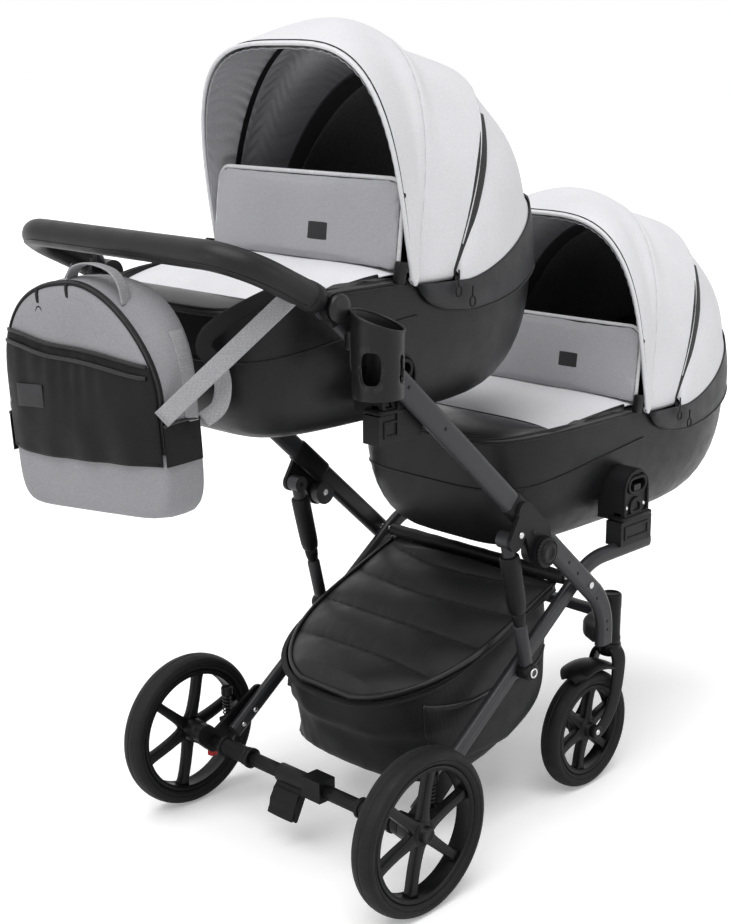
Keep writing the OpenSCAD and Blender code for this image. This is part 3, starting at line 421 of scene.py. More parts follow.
for side, word in sides:
    dial = [(27.4, 0), (27.4, 4.6), (25.8, 6.0), (22.5, 6.2), (21.6, 4.4), (18.5, 4.2), (17.8, 8.4),
            (16.4, 9.6), (10, 9.9), (9.2, 9.0), (0.1, 9.2)]
    turned(f"fold_dial_{word}", dial, (side * 290.4, 324.86, 549.17), "push_frame", count=96, side=side,
           flute=dial_rib)
    collar = [spot(side * tube_x, *on_tube(s)) for s in (566, 568, 572, 612, 652, 656, 658)]
    strand(f"tube_collar_{word}", collar, 23.5, 43.5, "push_frame", up_way=(0, tube_fall, tube_run),
           power=3.4, count=32, scale=(0.88, 0.95, 1, 1, 1, 0.97, 0.9))
    rivet(f"knuckle_bolt_{word}_0", (side * 282.4, 268, 590), side, 6, 3, "push_frame", bolt_steel)
    rivet(f"knuckle_bolt_{word}_1", (side * 282.4, 300, 588), side, 5, 2.4, "push_frame")
    neck = on_strut(side, (140, 141, 150, 156, 162, 168, 171))
    strand(f"strut_neck_{word}", neck, 25.4, 25.4, "struts", up_way=(0, 1, 0.24), count=32,
           scale=(0.9, 1, 1, 0.96, 0.86, 0.77, 0.7))
    cover = on_strut(side, (30, 31, 36, 60, 110, 128, 138, 142))
    strand(f"strut_cover_{word}", cover, 33, 33, "struts", up_way=(0, 1, 0.24), power=2.6, count=36,
           scale=(0.86, 0.95, 1, 1, 0.97, 0.94, 0.86, 0.78))
    lower_rod = on_strut(side, (168, 172, 230, 246, 250))
    strand(f"strut_rod_sleeve_{word}", lower_rod, 23, 23, "struts", tube_paint, up_way=(0, 1, 0.24),
           power=2.4, count=32, scale=(0.86, 1, 1, 1, 0.9))
    clevis = [(15.2, -26), (15.2, 0), (14, 1.4), (10.4, 1.6), (10, 0.8), (0.1, 0.8)]
    turned(f"strut_clevis_{word}", clevis, (side * 274.2, 316.4, 324.2), "struts", count=40, side=side)
    bolt_ring = [(9.4, 0.6), (9.4, 2.6), (8.6, 3.4), (6.4, 3.4), (6, 2.4), (0.1, 2.6)]
    turned(f"strut_bolt_{word}", bolt_ring, (side * 274.6, 316.4, 324.2), "struts", bolt_steel, count=32,
           side=side)

# Rear axle, brackets and brake
# A steel tube across the rear legs, with fluted plastic sleeves, stepped collars and a foot brake.
# Each end sits in a moulded bracket with a coil spring and a red button that frees the wheel.
red_plastic = look("red plastic", (0.5, 0.008, 0.01), 0.3, fleck=0.06, grain=0.04)
spring_steel = look("spring steel", (0.03, 0.03, 0.033), 0.34, fleck=0.15, fleck_size=2, grain=0.05,
                    metal=0.6)
dress("rear_axle", hard_plastic, 1.6)
dress("rear_brackets", hard_plastic, 2.2)
dress("brake_pedal", hard_plastic, 3.4)
dress("suspension_springs", spring_steel)
dress("release_button_left", red_plastic, 1.8)
dress("release_button_right", red_plastic, 1.8)
axle = (20, 126)


def sleeve_flute(i, radius):
    """Draws in two points of every six round the sleeve."""
    return 0.95 if i % 6 < 2 else 1


for side, word in sides:
    start = 60 if side > 0 else 66
    flutes = [(11.2, start), (13, start + 2), (13, 134), (11.2, 136)]
    turned(f"axle_sleeve_{word}", flutes, (0, *axle), "rear_frame", side=side, count=96, flute=sleeve_flute)
    for k, (x, r) in enumerate(((140, 19), (214, 19), (150, 17.4))):
        step = [(15.8, x - 1), (r - 0.8, x - 1), (r, x), (r, x + 6), (r - 0.8, x + 7), (15.8, x + 7)]
        turned(f"axle_collar_{word}_{k}", step, (0, *axle), "rear_frame", side=side, count=48)
    for k, (y, z) in enumerate(((74, 151), (103, 171))):
        rivet(f"bracket_bolt_{word}_{k}", (side * 223.8, y, z), -side, 5, 2.6, "rear_frame", bolt_steel)
    cap = [(11.3, -0.5), (11.3, 1.2), (10, 3), (6, 4), (0.1, 4.4)]
    turned(f"spring_cap_{word}", cap, (side * 262.8, 66, 215.2), "rear_frame", axis="Z", count=32)
tread = []
for t in shares(9):
    tread.append([spot(-58 + 64 * (0.5 + v / 2), 6 - 19 * t ** 0.8 - 6.4 * (1 - 0.16 * v * v),
                       112 - 46 * t - 3 + 1.4 * sin(pi * 5 * t)) for v in evenly(17)])
piece("brake_tread", grid(tread), "brake_pedal", thick=3, soften=0.8)

# Wheels
# Foam-filled tyres with a moulded ring round each side wall and a seam round the tread,
# on six-spoked nylon rims with flat-faced spokes and a small round hub cap.
tyre_foam = look("tyre foam", (0.0085, 0.0085, 0.009), 0.6, fleck=0.2, fleck_size=6, grain=0.2,
                 grain_size=1.4, gloss=0.2)
rim_plastic = look("rim plastic", (0.006, 0.0062, 0.0068), 0.38, fleck=0.1, grain=0.1, grain_size=0.8,
                   worn=0.1, gloss=0.18)
for place, hub_y, hub_z, radius, width, track, hub_out in (
        ("rear", 0, 145, 145, 46, 296, 22), ("front", 568, 116, 116, 40, 202, 21.5)):
    for side, word in sides:
        body = f"{place}_wheel_{word}"
        centre = (side * track, hub_y, hub_z)
        half = width / 2
        seat = radius - 27
        one_side = [(seat + r, half * x) for r, x in (
            (0.3, 0), (0.3, 0.66), (2.5, 0.78), (6, 0.93), (8.4, 0.97), (9, 0.92), (10.4, 0.92),
            (11, 0.985), (14, 1), (18.5, 0.96), (20.6, 0.885), (21, 0.845), (21.8, 0.845), (22.4, 0.81),
            (24.6, 0.62), (26.2, 0.4), (26.9, 0.18), (27, 0.05), (26.3, 0.03), (26.3, 0))]
        profile = [(r, -x) for r, x in one_side] + [(r, x) for r, x in one_side[::-1]]
        piece(f"{place}_tyre_{word}_rubber", grid(lathe(profile, centre, count=128), ring=True), body,
              tyre_foam, replaces=(f"{place}_tyre_{word}",))
        inner = seat - 8
        ring = [(seat + r, half * x) for r, x in (
            (-8, -0.6), (-9.2, -0.68), (-1, -0.74), (0.1, -0.68), (0.1, 0.68), (-1, 0.76), (-3, 0.76),
            (-4, 0.7), (-9.2, 0.68), (-8, 0.6))]
        piece(f"{place}_rim_{word}_ring", grid(lathe(ring + ring[:1], centre, count=128), ring=True), body,
              rim_plastic, replaces=(f"{place}_rim_{word}",))
        hub_in = 33.7 if place == "rear" else 23.5
        hub = [(7, -hub_in), (19, -hub_in), (21, -hub_in + 2), (22.5, -10), (22.5, 8), (21.5, 10),
               (15.5, 11), (14.6, 12), (14.2, hub_out - 2), (13, hub_out - 0.4), (9, hub_out),
               (8.4, hub_out - 0.8), (0.1, hub_out - 0.6)]
        turned(f"{place}_hub_{word}", hub, centre, body, rim_plastic, count=48, side=side)
        for k in range(6):
            turn = 2 * pi * (k + 0.3) / 6
            rows = []
            for share in shares(15):
                reach = 17 + (inner + 2 - 17) * share
                wide = 9.6 - 2.4 * share + 5 * exp(-share / 0.07) + 5 * exp(-(1 - share) / 0.07)
                face_x = 10 - 2.5 * sin(pi * share)
                deep = 8 + 1.5 * share
                row = []
                for across, along in ((-1, 0.6), (-0.97, 0.9), (-0.86, 1), (0, 1.02), (0.86, 1),
                                      (0.97, 0.9), (1, 0.6), (1, -0.8), (0.7, -1), (-0.7, -1), (-1, -0.8)):
                    y = reach * cos(turn) - across * wide * sin(turn)
                    z = reach * sin(turn) + across * wide * cos(turn)
                    row.append(spot(centre[0] + side * (face_x + (along - 1) * deep), hub_y + y, hub_z + z))
                rows.append(row)
            piece(f"{place}_spoke_{word}_{k}", grid(rows, ring=True, caps=True), body, rim_plastic)

# Casters
# Nylon forks under smooth upright housings, each on a curved arm from a lower tube; a crossbar joins them.
# A fork has a domed crown, a guard over the tyre and two tapering legs.
bar_paint = look("crossbar paint", (0.03, 0.031, 0.034), 0.36, fleck=0.1, grain=0.06, worn=0.1, gloss=0.28)
swivel_y, front_track, front_hub = 643, 202, (568, 116)
leg_route = ((14, 640, 262), (25, 638, 250), (30, 633, 226), (30, 625, 178), (30, 606, 140), (30, 584, 119),
             (30, 568, 114))
bar = [spot(190 * v, swivel_y - 9 * (1 - v * v), 327 + 5 * (1 - v * v)) for v in evenly(33)]
strand("front_crossbar_bar", bar, 30, 17, "chassis", bar_paint, power=4, count=28,
       replaces=("front_crossbar",))
for side, word in sides:
    x = side * front_track
    housing = [(8.2, 272), (19.6, 272), (21, 273.4), (21, 284), (20.2, 285), (20, 298), (20.4, 340),
               (21, 345), (21, 366), (20.4, 369.6), (18.6, 371.4), (15.6, 372.2), (15, 371.2), (0.1, 371.4)]
    turned(f"caster_housing_{word}", housing, (x, swivel_y, 0), "chassis", axis="Z", count=56,
           replaces=("caster_housings",) if side > 0 else ())
    arm = curve_through([spot(side * px, py, 331.7) for px, py in (
        (253.6, 533), (245, 536), (228, 545), (212, 566), (204, 596), (202, 628))], 6)
    strand(f"caster_arm_{word}", arm, 30, 30, "chassis", power=4.5, count=32,
           scale=[1 - 0.12 * sin(pi * k / (len(arm) - 1)) for k in range(len(arm))])
    crown = [(21.6, 271.6), (22.4, 269.6), (22.6, 256), (21, 249), (16, 246.4), (0.1, 246)]
    turned(f"fork_crown_{word}", crown, (x, swivel_y, 0), f"caster_{word}", axis="Z", count=48,
           replaces=(f"caster_fork_{word}",))
    rows = []
    for t in shares(29):
        a = radians(52 + 63 * t)
        lip = 1 - 0.55 * max(0, (t - 0.8) / 0.2) ** 2 - 0.35 * max(0, (0.12 - t) / 0.12) ** 2
        row = []
        for v in evenly(17):
            r = 133 - 7.5 * abs(v) ** 2.6 - 5 * max(0, (t - 0.9) / 0.1)
            row.append(spot(x + 32 * lip * v, front_hub[0] + r * cos(a), front_hub[1] + r * sin(a)))
        rows.append(row)
    piece(f"fork_guard_{word}", grid(rows), f"caster_{word}", thick=6, soften=1.5, smooth=1)
    for reach, face in ((1, "outer"), (-1, "inner")):
        leg = curve_through([spot(x + reach * px, py, pz) for px, py, pz in leg_route], 6)
        widths = [1.25 - 0.42 * min(1, k / (len(leg) - 8)) for k in range(len(leg))]
        strand(f"fork_leg_{word}_{face}", leg, 9.5, 30, f"caster_{word}", up_way=(0, 1, 0), power=3.4,
               count=24, scale=widths)
        eye = [(13.4, 24.6), (13.4, 33.6), (12.4, 34.8), (8, 35), (7.4, 34), (0.1, 34)]
        turned(f"fork_eye_{word}_{face}", eye, (x, *front_hub), f"caster_{word}", count=36, side=reach)
        rivet(f"front_axle_bolt_{word}_{face}", (x + reach * 34, *front_hub), reach, 6, 3, f"caster_{word}",
              bolt_steel)

# Basket
# A black nylon tub hung from a cross rod, gathered at its foot, with an elastic-topped pocket each side.
# Its quilted lid has four padded channels and closes with a bound zip.
basket_cloth = look("basket nylon", (0.0065, 0.0067, 0.0075), 0.46, fleck=0.2, fleck_size=3, weave=0.25,
                    weave_size=1.4, grain=0.22, sheen=0.04, gloss=0.2)
zip_teeth = look("zip coil", (0.01, 0.01, 0.011), 0.34, fleck=0.25, fleck_size=1.2, grain=0.6,
                 grain_size=1.2, cells=True, gloss=0.3)
elastic = look("elastic binding", (0.012, 0.012, 0.013), 0.32, fleck=0.15, grain=0.12, grain_size=1.5,
               gloss=0.36)
lid_cloth = look("lid nylon", (0.011, 0.0112, 0.0122), 0.5, fleck=0.15, fleck_size=3, grain=0.25,
                 grain_size=2, sheen=0.05, gloss=0.3)
tub_low, hinge_y, hinge_z = 134, 462, 429
lid_long, lid_wide = 412, 203


def tub_point(a, t, grow=0.0):
    """A point on the tub at angle a and height share t, in mm."""
    s = sin(pi / 2 * t) ** 0.7
    belly = (1 - (1 - min(1, 2 * t)) ** 3.2) ** 0.8
    rear = 121 - 52 * s - 11 * min(1, max(0, t - 0.25) / 0.05)
    fore = 290 + 210 * belly - 16 * max(0, t - 0.7) / 0.3
    half = (0.87 + 0.13 * s) * 205 + grow
    power = 5 if sin(a) > 0 else 2.5
    x = half * bent(cos(a), power)
    y = (rear + fore) / 2 + ((fore - rear) / 2 + grow) * bent(sin(a), power)
    z = tub_low + 309 * t
    crease = 2.6 * sin(11 * a + 7 * t) * sin(pi * min(1, t * 1.6)) * (1 - t)
    crease += 1.5 * sin(31 * a) * max(0, 0.3 - t)
    return x + crease * cos(a), y + crease * sin(a), min(z, 427.5 - (hinge_y - y) * 0.368)


rows = [[spot(*tub_point(a, k / 30)) for a in turns(160)] for k in range(31)]
sag = []
for share, drop in ((0.01, 13), (0.3, 12.6), (0.6, 11.4), (0.8, 9), (0.91, 5.6), (0.97, 2.4)):
    sag.append([spot(0, 211, tub_low).lerp(p, share) - Vector((0, 0, drop / 1000)) for p in rows[0]])
piece("basket_tub", grid(sag + rows, ring=True), "chassis", basket_cloth, replaces=("basket_body",),
      thick=2)
for side, word in sides:
    rows = []
    edge = []
    for k in range(15):
        t = 0.1 + 0.36 * k / 14
        row = []
        for v in evenly(41):
            a = (0 if side > 0 else pi) + side * v * 0.62
            top = t + (0.07 * v * v + 0.05 * v) * (k / 14)
            out = 1.5 + 7 * (1 - abs(v) ** 3) * sin(pi * min(1, 0.25 + 0.75 * k / 14)) ** 0.6
            row.append(spot(*tub_point(a, top, out)))
        rows.append(row)
        edge = row
    piece(f"basket_pocket_{word}", grid(rows), "chassis", basket_cloth, thick=1.6)
    strand(f"basket_pocket_elastic_{word}", edge, 4.2, 7, "chassis", elastic, count=12)


def lid_place(x, u, h):
    """A point on the lid: u back from the hinge, h above the lid's plane, in mm."""
    slope = radians(20.2)
    return spot(x, hinge_y - u * cos(slope) - h * sin(slope), hinge_z - u * sin(slope) + h * cos(slope))


def lid_half(u):
    """Half the lid's width at u back from the hinge, which narrows in a rounded end."""
    start = lid_long * 0.36
    return lid_wide * (1 - (max(0, u - start) / (lid_long + 8 - start)) ** 2.3) ** (1 / 2.3)


def lid_height(u, v):
    """Height of the quilting: four padded channels, whose seams bow back most near the hinge."""
    rise = max(0, min(1, u / 30 + 0.15, (lid_long - u) / 30 + 0.15))
    puff = abs(sin(4 * pi * (u / lid_long - 0.18 * (1 - v * v) * (1 - u / lid_long) ** 2))) ** 0.45
    pucker = 1.5 * sin(44 * v + 5 * sin(9 * v)) * (1 - puff)
    return 4 + (1 - abs(v) ** 5) * rise * (12 * (1 - v * v) + 19 * puff + pucker)


rows = []
for k in range(145):
    u = lid_long * k / 144
    rows.append([lid_place(lid_half(u) * v, u, lid_height(u, v)) for v in evenly(57)]
                + [lid_place(lid_half(u) * v, u, 0.5) for v in (0.9, 0, -0.9)])
lid = piece("basket_lid_quilt", grid(rows, ring=True, caps=True), "basket_lid", lid_cloth,
            replaces=("basket_lid",))
for k in (1, 2, 3):
    thread = []
    for v in [0.94 * (i / 20 - 1) for i in range(41)]:
        bow = 0.18 * (1 - v * v)
        u = lid_long * (1 - (sqrt(1 + 4 * bow * (1 - k / 4)) - 1) / (2 * bow))
        thread.append(lid_place(lid_half(u) * v, u, lid_height(u, v) + 0.6))
    strand(f"basket_lid_seam_{k}", thread, 3.0, 2.2, "basket_lid", zip_teeth, count=8)


def lid_edge(out, height):
    """A line round the lid's free edge, out beyond it and at a height above its plane, in mm."""
    stations = [lid_long * k / 60 for k in range(61)]
    right = [lid_place(lid_half(u) + out, u, height) for u in stations]
    return right + [lid_place(-lid_half(u) - out, u, height) for u in stations[::-1]]


strand("basket_lid_binding", lid_edge(0, 3), 9, 15, "basket_lid", elastic, power=3, count=16)
strand("basket_zip", lid_edge(3, -5), 4, 5, "basket_lid", zip_teeth, count=10)
tag = [lid_place(-104, 399, -3) + Vector((0, -4 - 0.1 * k, -k)) / 1000 for k in range(0, 28, 3)]
strand("basket_zip_pull", tag, 9, 2.4, "basket_lid", elastic, up_way=(0, -1, 0), power=4, count=16)
tunnel = [spot(x, 477, 447) for x in (-219, -218, -214)]
tunnel += [spot(214 * (i / 12 - 1), 477, 447 - 1.2 * abs(sin(i))) for i in range(1, 24)]
tunnel += [spot(x, 477, 447) for x in (214, 218, 219)]
strand("basket_tunnel", tunnel, 25, 25, "chassis", basket_cloth, power=2.4, count=24,
       scale=[0.84, 0.95] + [1] * (len(tunnel) - 4) + [0.95, 0.84])
rows = [[spot(lid_wide * (i / 20 - 1), 469 - 8 * t + 1.5 * sin(i * 0.9) * t, 436 - 14 * t)
         for i in range(41)] for t in (0, 0.35, 0.7, 1)]
piece("basket_hanging_strip", grid(rows), "chassis", basket_cloth, thick=2)

# Cot adapters and receivers
# Moulded blocks on the chassis with a rounded shoulder; a receiver under each cot drops over their tongues.
# A raised frame runs round the arch and its oval window, where a lever frees the cot.
for node in ("upper_adapters", "lower_adapters"):
    dress(node, hard_plastic, 6.0)
for node in ("upper_receivers", "lower_receivers"):
    dress(node, hard_plastic, 3.0)
button_plastic = look("button plastic", (0.011, 0.011, 0.012), 0.36, fleck=0.1, grain=0.1, gloss=0.28)
for node in ("upper_cot_release", "lower_cot_release", "handle_button_left", "handle_button_right"):
    dress(node, button_plastic, 1.5)


def plate(outer, inner, centre, x0, x1, count=72):
    """A flat ring in the side view between two outlines, given as tests of (across, up) about a centre."""
    def reach(inside, a):
        low, high = 0.0, 200.0
        for _ in range(30):
            middle = (low + high) / 2
            low, high = (middle, high) if inside(middle * cos(a), middle * sin(a)) else (low, middle)
        return low

    lines = []
    for inside, x in ((outer, x0), (outer, x1), (inner, x1), (inner, x0)):
        lines.append([spot(x, centre[0] + reach(inside, a) * cos(a), centre[1] + reach(inside, a) * sin(a))
                      for a in turns(count)])
    return grid(lines + lines[:1], ring=True)


def arch(half, top, low):
    """A test for being inside a round-topped arch."""
    def inside(y, z):
        return abs(y) <= half and z >= low and (z <= top - half or hypot(y, z - top + half) <= half)

    return inside


def slot_shape(half, tall):
    """A test for being inside a slot with round ends."""
    return lambda y, z: hypot(max(0, abs(y) - half + tall), z) <= tall


def disc(radius, low):
    """A test for being inside a disc that is cut off flat below."""
    return lambda y, z: hypot(y, z) <= radius and z >= low


def box(half, tall):
    """A test for being inside an upright rectangle."""
    return lambda y, z: abs(y) <= half and abs(z) <= tall


for cot, seat_y, seat_z in (("upper", 3, 844), ("lower", 648, 530)):
    for side, word in sides:
        window = (seat_y, seat_z + 66)
        frame_shape = plate(arch(39, 29, -65), arch(33, 23, -54), window, side * 244, side * 250.5)
        piece(f"{cot}_receiver_frame_{word}", frame_shape, f"{cot}_cot", soften=2)
        lip = plate(slot_shape(29, 17), slot_shape(23, 11), window, side * 244, side * 251.5)
        piece(f"{cot}_receiver_window_{word}", lip, f"{cot}_cot", soften=1.6)
        boss = plate(disc(20, -12), disc(11, -6), (seat_y, seat_z + 22), side * 244, side * 250)
        piece(f"{cot}_receiver_boss_{word}", boss, f"{cot}_cot", soften=1.6)
        for k, dy in enumerate((-27, 27)):
            rivet(f"{cot}_receiver_rivet_{word}_{k}", (side * 246, seat_y + dy, seat_z + 24), side, 4.2,
                  2.4, f"{cot}_cot", bolt_steel)
        step = [spot(side * 234, seat_y + dy, seat_z + 4.5) for dy in (-46, -45, -42, 0, 42, 45, 46)]
        strand(f"{cot}_receiver_step_{word}", step, 40, 8.4, f"{cot}_cot", power=6, count=32,
               scale=(0.8, 0.94, 1, 1, 1, 0.94, 0.8))
        body = "push_frame" if cot == "upper" else "rear_frame"
        recess = plate(box(38, 14), box(32, 8.5), (seat_y, seat_z - 23), side * 249, side * 253)
        piece(f"{cot}_adapter_frame_{word}", recess, body, soften=1.4)

# Carrycots
# Moulded shells in black leatherette with piped seams, a rim that dips to the foot and a jersey mattress.
# A heather apron ends in a leatherette border with a raised roll; a padded wind flap stands at its edge.


def heather(name, colour, fleck, grain=0.3, sheen=0.1):
    """A mottled woven cloth."""
    return look(name, colour, 0.85, fleck, 2.6, grain, 2.2, sheen=sheen, gloss=0.2)


shell_leather = look("shell leatherette", (0.0075, 0.0077, 0.0085), 0.38, fleck=0.15, fleck_size=8,
                     grain=0.16, grain_size=1.6, cells=True, gloss=0.22)
apron_cloth = heather("apron heather", (0.7, 0.7, 0.725), 0.06)
flap_cloth = heather("flap heather", (0.37, 0.37, 0.39), 0.07)
mattress_cloth = look("mattress jersey", (0.72, 0.72, 0.73), 0.9, fleck=0.05, grain=0.2, grain_size=2,
                      sheen=0.2)
piping_cloth = look("pale piping", (0.62, 0.62, 0.64), 0.7, fleck=0.08, grain=0.2, gloss=0.2)
border_leather = look("border leatherette", (0.03, 0.03, 0.032), 0.34, fleck=0.1, fleck_size=8, grain=0.16,
                      grain_size=1.6, cells=True, gloss=0.5)
patch_leather = look("dark patch", (0.018, 0.018, 0.02), 0.5, fleck=0.12, grain=0.2, cells=True, gloss=0.3)
cot_half, cot_deep, head_reach = 213, 246, 372
cots = (("upper", 130, 1046, 386, 24), ("lower", 775, 732, 455, 9))


def rim_fall(y):
    """How far the rim has fallen at y, towards the foot end."""
    return foot_dip * max(0, (-y - 130) / (foot - 130)) ** 3.5


def shell_point(a, d, grow=0.0, lift=0.0):
    """A point on a cot's shell at angle a and depth share d, about the hood pivot; the foot is squarer."""
    c, s = cos(a), sin(a)
    power, bulge, reach = (2.7, 2.0, head_reach) if s > 0 else (5.0, 2.8, foot)
    half_x = cot_half * (0.5 + 0.5 * sqrt(max(0, 1 - d ** 2.6))) + grow
    half_y = reach * (0.62 + 0.38 * max(0, 1 - d ** (2.6 if s > 0 else 2.8)) ** (1 / bulge)) + grow
    size = (abs(c) ** power + abs(s) ** power) ** (-1 / power)
    y = half_y * s * size
    return half_x * c * size, y, -cot_deep * d - (1 - d) * rim_fall(y) + lift


def rim_reach(x):
    """How far the rim lies from the middle at x, towards the foot."""
    return foot * max(0, 1 - (abs(x) / cot_half) ** 5) ** 0.2


def along(line, y):
    """Height on a line of (y, z) points at y."""
    for (y0, z0), (y1, z1) in zip(line, line[1:]):
        if y <= y1:
            return z0 + (z1 - z0) * max(0, (y - y0) / (y1 - y0))
    return line[-1][1]


def swell_out(item, cap, pressure, voxel):
    """Fills a padded piece by a short cloth simulation, in which no point moves further than cap, in mm."""
    bpy.context.view_layer.objects.active = item
    for other in bpy.context.selected_objects:
        other.select_set(False)
    item.select_set(True)
    remesh = item.modifiers.new("remesh", "REMESH")
    remesh.mode = "VOXEL"
    remesh.voxel_size = voxel / 1000
    bpy.ops.object.modifier_apply(modifier="remesh")
    before = [v.co.copy() for v in item.data.vertices]
    cloth = item.modifiers.new("cloth", "CLOTH")
    cloth.settings.use_pressure = True
    cloth.settings.uniform_pressure_force = pressure
    cloth.settings.effector_weights.gravity = 0
    cloth.point_cache.frame_start = 1
    cloth.point_cache.frame_end = 20
    for number in range(1, 21):
        scene.frame_set(number)
    bpy.ops.object.modifier_apply(modifier="cloth")
    scene.frame_set(1)
    for v, start in zip(item.data.vertices, before):
        way = v.co - start
        if way.length > cap / 1000:
            v.co = start + way * (cap / 1000 / way.length)
    for polygon in item.data.polygons:
        polygon.use_smooth = True
    smooth_over(item, 1)


for cot, cot_y, cot_z, foot, foot_dip in cots:
    body = f"{cot}_cot"

    def local(x, y, z):
        return spot(x, y + cot_y, z + cot_z)

    rows = []
    depths = [1, 0.995, 0.98, 0.96, 0.92, 0.86, 0.78, 0.7, 0.6, 0.5, 0.4, 0.3, 0.2, 0.1, 0.04, 0.01, 0]
    for d in depths:
        rows.append([local(*shell_point(a, d)) for a in turns(160)])
    for d in depths[::-1]:
        rows.append([local(*shell_point(a, d, -6, 6 * d * d)) for a in turns(160)])
    centre_low = [local(0, 0, -cot_deep)] * 160
    centre_in = [local(0, 0, -240)] * 160
    piece(f"{cot}_cot_leather", grid([centre_low] + rows + [centre_in], ring=True), body, shell_leather,
          replaces=(f"{cot}_cot_shell",))
    rim_line = [local(*shell_point(a, 0.0, 0.2, -1)) for a in turns(160)]
    strand(f"{cot}_rim_piping", rim_line, 5, 5, body, shell_leather, closed=True)
    zip_line = [local(*shell_point(-pi * (0.06 + 0.88 * k / 100), 0.045, 0.6)) for k in range(101)]
    strand(f"{cot}_rim_zip", zip_line, 3.2, 4.4, body, zip_teeth, count=8)
    seam_fall = ((-372, -104), (-340, -100), (-200, -80), (-75, -66), (0, -62))
    seam = []
    for k in range(121):
        a = -pi * (0.04 + 0.92 * k / 120)
        y = shell_point(a, 0.35)[1]
        z = along(seam_fall, y)
        seam.append(local(*shell_point(a, min(0.9, -(z + 0.6 * rim_fall(y)) / cot_deep), 0.5)))
    strand(f"{cot}_shell_seam", seam, 3.6, 3.6, body, shell_leather, count=8)

    rows = []
    heights = [0, 0.1, 0.28, 0.5, 0.7, 0.85, 0.95, 1.0, 1.02, 1.03]
    swells = [0.9, 1.0, 1.1, 1.18, 1.22, 1.22, 1.18, 1.1, 0.8, 0.4]
    for h, s in zip(heights, swells):
        rows.append([local(1.06 * s * 100.5 * copysign(abs(cos(a)) ** 0.74, cos(a)),
                           s * 222 * copysign(abs(sin(a)) ** 0.74, sin(a)), -239.5 + 36 * h)
                     for a in turns(64)])
    bed = piece(f"{cot}_mattress_pad", grid(rows, ring=True, caps=True), body, mattress_cloth,
                replaces=(f"{cot}_mattress",))

    def apron_height(x, y):
        s = min(1, ((abs(x) / cot_half) ** 5 + (abs(y) / foot) ** 5) ** 0.2)
        crease = 0.9 * sin(x / 23 + 2 * sin(y / 60)) * sin(pi * min(1, max(0, (-y - 60) / 270))) * (1 - s)
        sag = (22 if cot == "upper" else 12) * min(1.2, max(0, (-y - 100) / 225)) ** 1.5
        return 15 * (1 - 0.72 * s ** 5) - 0.6 * rim_fall(y) - sag + crease

    rows = []
    for i in range(61):
        x = 208 * sin(pi / 2 * (i / 30 - 1))
        stop = min(rim_reach(x) - 5, 331)
        rows.append([local(x, y, apron_height(x, y))
                     for y in [-52 - (stop - 52) * k / 40 for k in range(41)]])
    cover = piece(f"{cot}_apron_cover", grid(rows), body, apron_cloth, replaces=(f"{cot}_apron",), thick=2)
    rows = []
    roll_in, roll_out = [], []
    for k in range(121):
        a = -pi * (0.055 + 0.89 * k / 120)
        ox, oy, oz = shell_point(a, 0.03, 2.0)
        ix = ox * (1 - 8 / max(30, hypot(ox, oy)))
        iy = max(-331, -rim_reach(ix) + 6) if abs(ix) < 208 else oy + 2
        iz = apron_height(ix, iy)
        wide = hypot(ox - ix, oy - iy)
        row = []
        for t in shares(13):
            puff = min(11, 0.24 * wide) * sin(pi * t) ** 0.7
            row.append(local(ix + (ox - ix) * t, iy + (oy - iy) * t,
                             iz + (oz - iz) * t ** 1.5 + puff + 1.2 * (1 - t)))
        rows.append(row)
        roll_in.append(local(ix, iy, iz + 2.4))
        roll_out.append(local(ox, oy, oz))
    piece(f"{cot}_apron_border", grid(rows), body, border_leather, thick=2.4)
    strand(f"{cot}_apron_roll", roll_in, 6.4, 6.4, body, shell_leather, count=12)
    strand(f"{cot}_apron_edge", roll_out, 3.4, 3.4, body, shell_leather, count=8)

    flap_half, flap_tall, corner = 216, 141, 26
    half_angle = asin(flap_half / 1500)
    lean = radians(-7)

    def flap_point(v, h, out):
        """A point on the wind flap: v across, h up from its hinge, out towards the foot end, in mm."""
        a = v * half_angle
        x, y = (1500 + out) * sin(a), 1500 - (1500 + out) * cos(a)
        return local(x, -112 + y * cos(lean) - h * sin(lean), 12 + y * sin(lean) + h * cos(lean))

    def flap_span(h):
        rise = max(0, h - (flap_tall - corner))
        return 1 - (corner - sqrt(max(0, corner ** 2 - rise ** 2))) / flap_half

    rows = []
    for k in range(39):
        h = flap_tall * k / 38
        fat = 3.0 * max(0, 1 - abs(2 * h / flap_tall - 1) ** 5) + 3.0
        row = []
        for face in (1, -1):
            for i in range(49) if face > 0 else range(48, -1, -1):
                v = i / 24 - 1
                row.append(flap_point(v * flap_span(h), h, face * fat * (1 - 0.25 * abs(v) ** 8)))
        rows.append(row)
    flap = piece(f"{cot}_wind_flap_pad", grid(rows, ring=True, caps=True), None, flap_cloth,
                 replaces=(f"{cot}_wind_flap",))
    swell_out(flap, 4, 4, 4)
    rising = [(flap_tall - corner) * k / 14 for k in range(1, 15)]
    rounding = [flap_tall - corner + corner * sin(pi / 2 * k / 8) for k in range(1, 8)]
    hem = [flap_point(-1, h, 0) for h in rising] + [flap_point(-flap_span(h), h, 0) for h in rounding]
    hem += [flap_point((1 - corner / flap_half) * (i / 12 - 1), flap_tall, 0) for i in range(25)]
    hem += [flap_point(flap_span(h), h, 0) for h in rounding[::-1]]
    hem += [flap_point(1, h, 0) for h in rising[::-1]]
    piping = strand(f"{cot}_flap_piping", hem, 7, 7, None, piping_cloth, up_way=(0, -1, 0))
    left, low = (0.135, 32) if cot == "upper" else (0.19, 44)
    rows = []
    for k in range(7):
        rows.append([])
        for i in range(9):
            proud = 9.4 - 0.9 * max(abs(i / 4 - 1), abs(k / 3 - 1)) ** 6
            rows[-1].append(flap_point(left + 0.25 * i / 8, low + 38 * k / 6, proud))
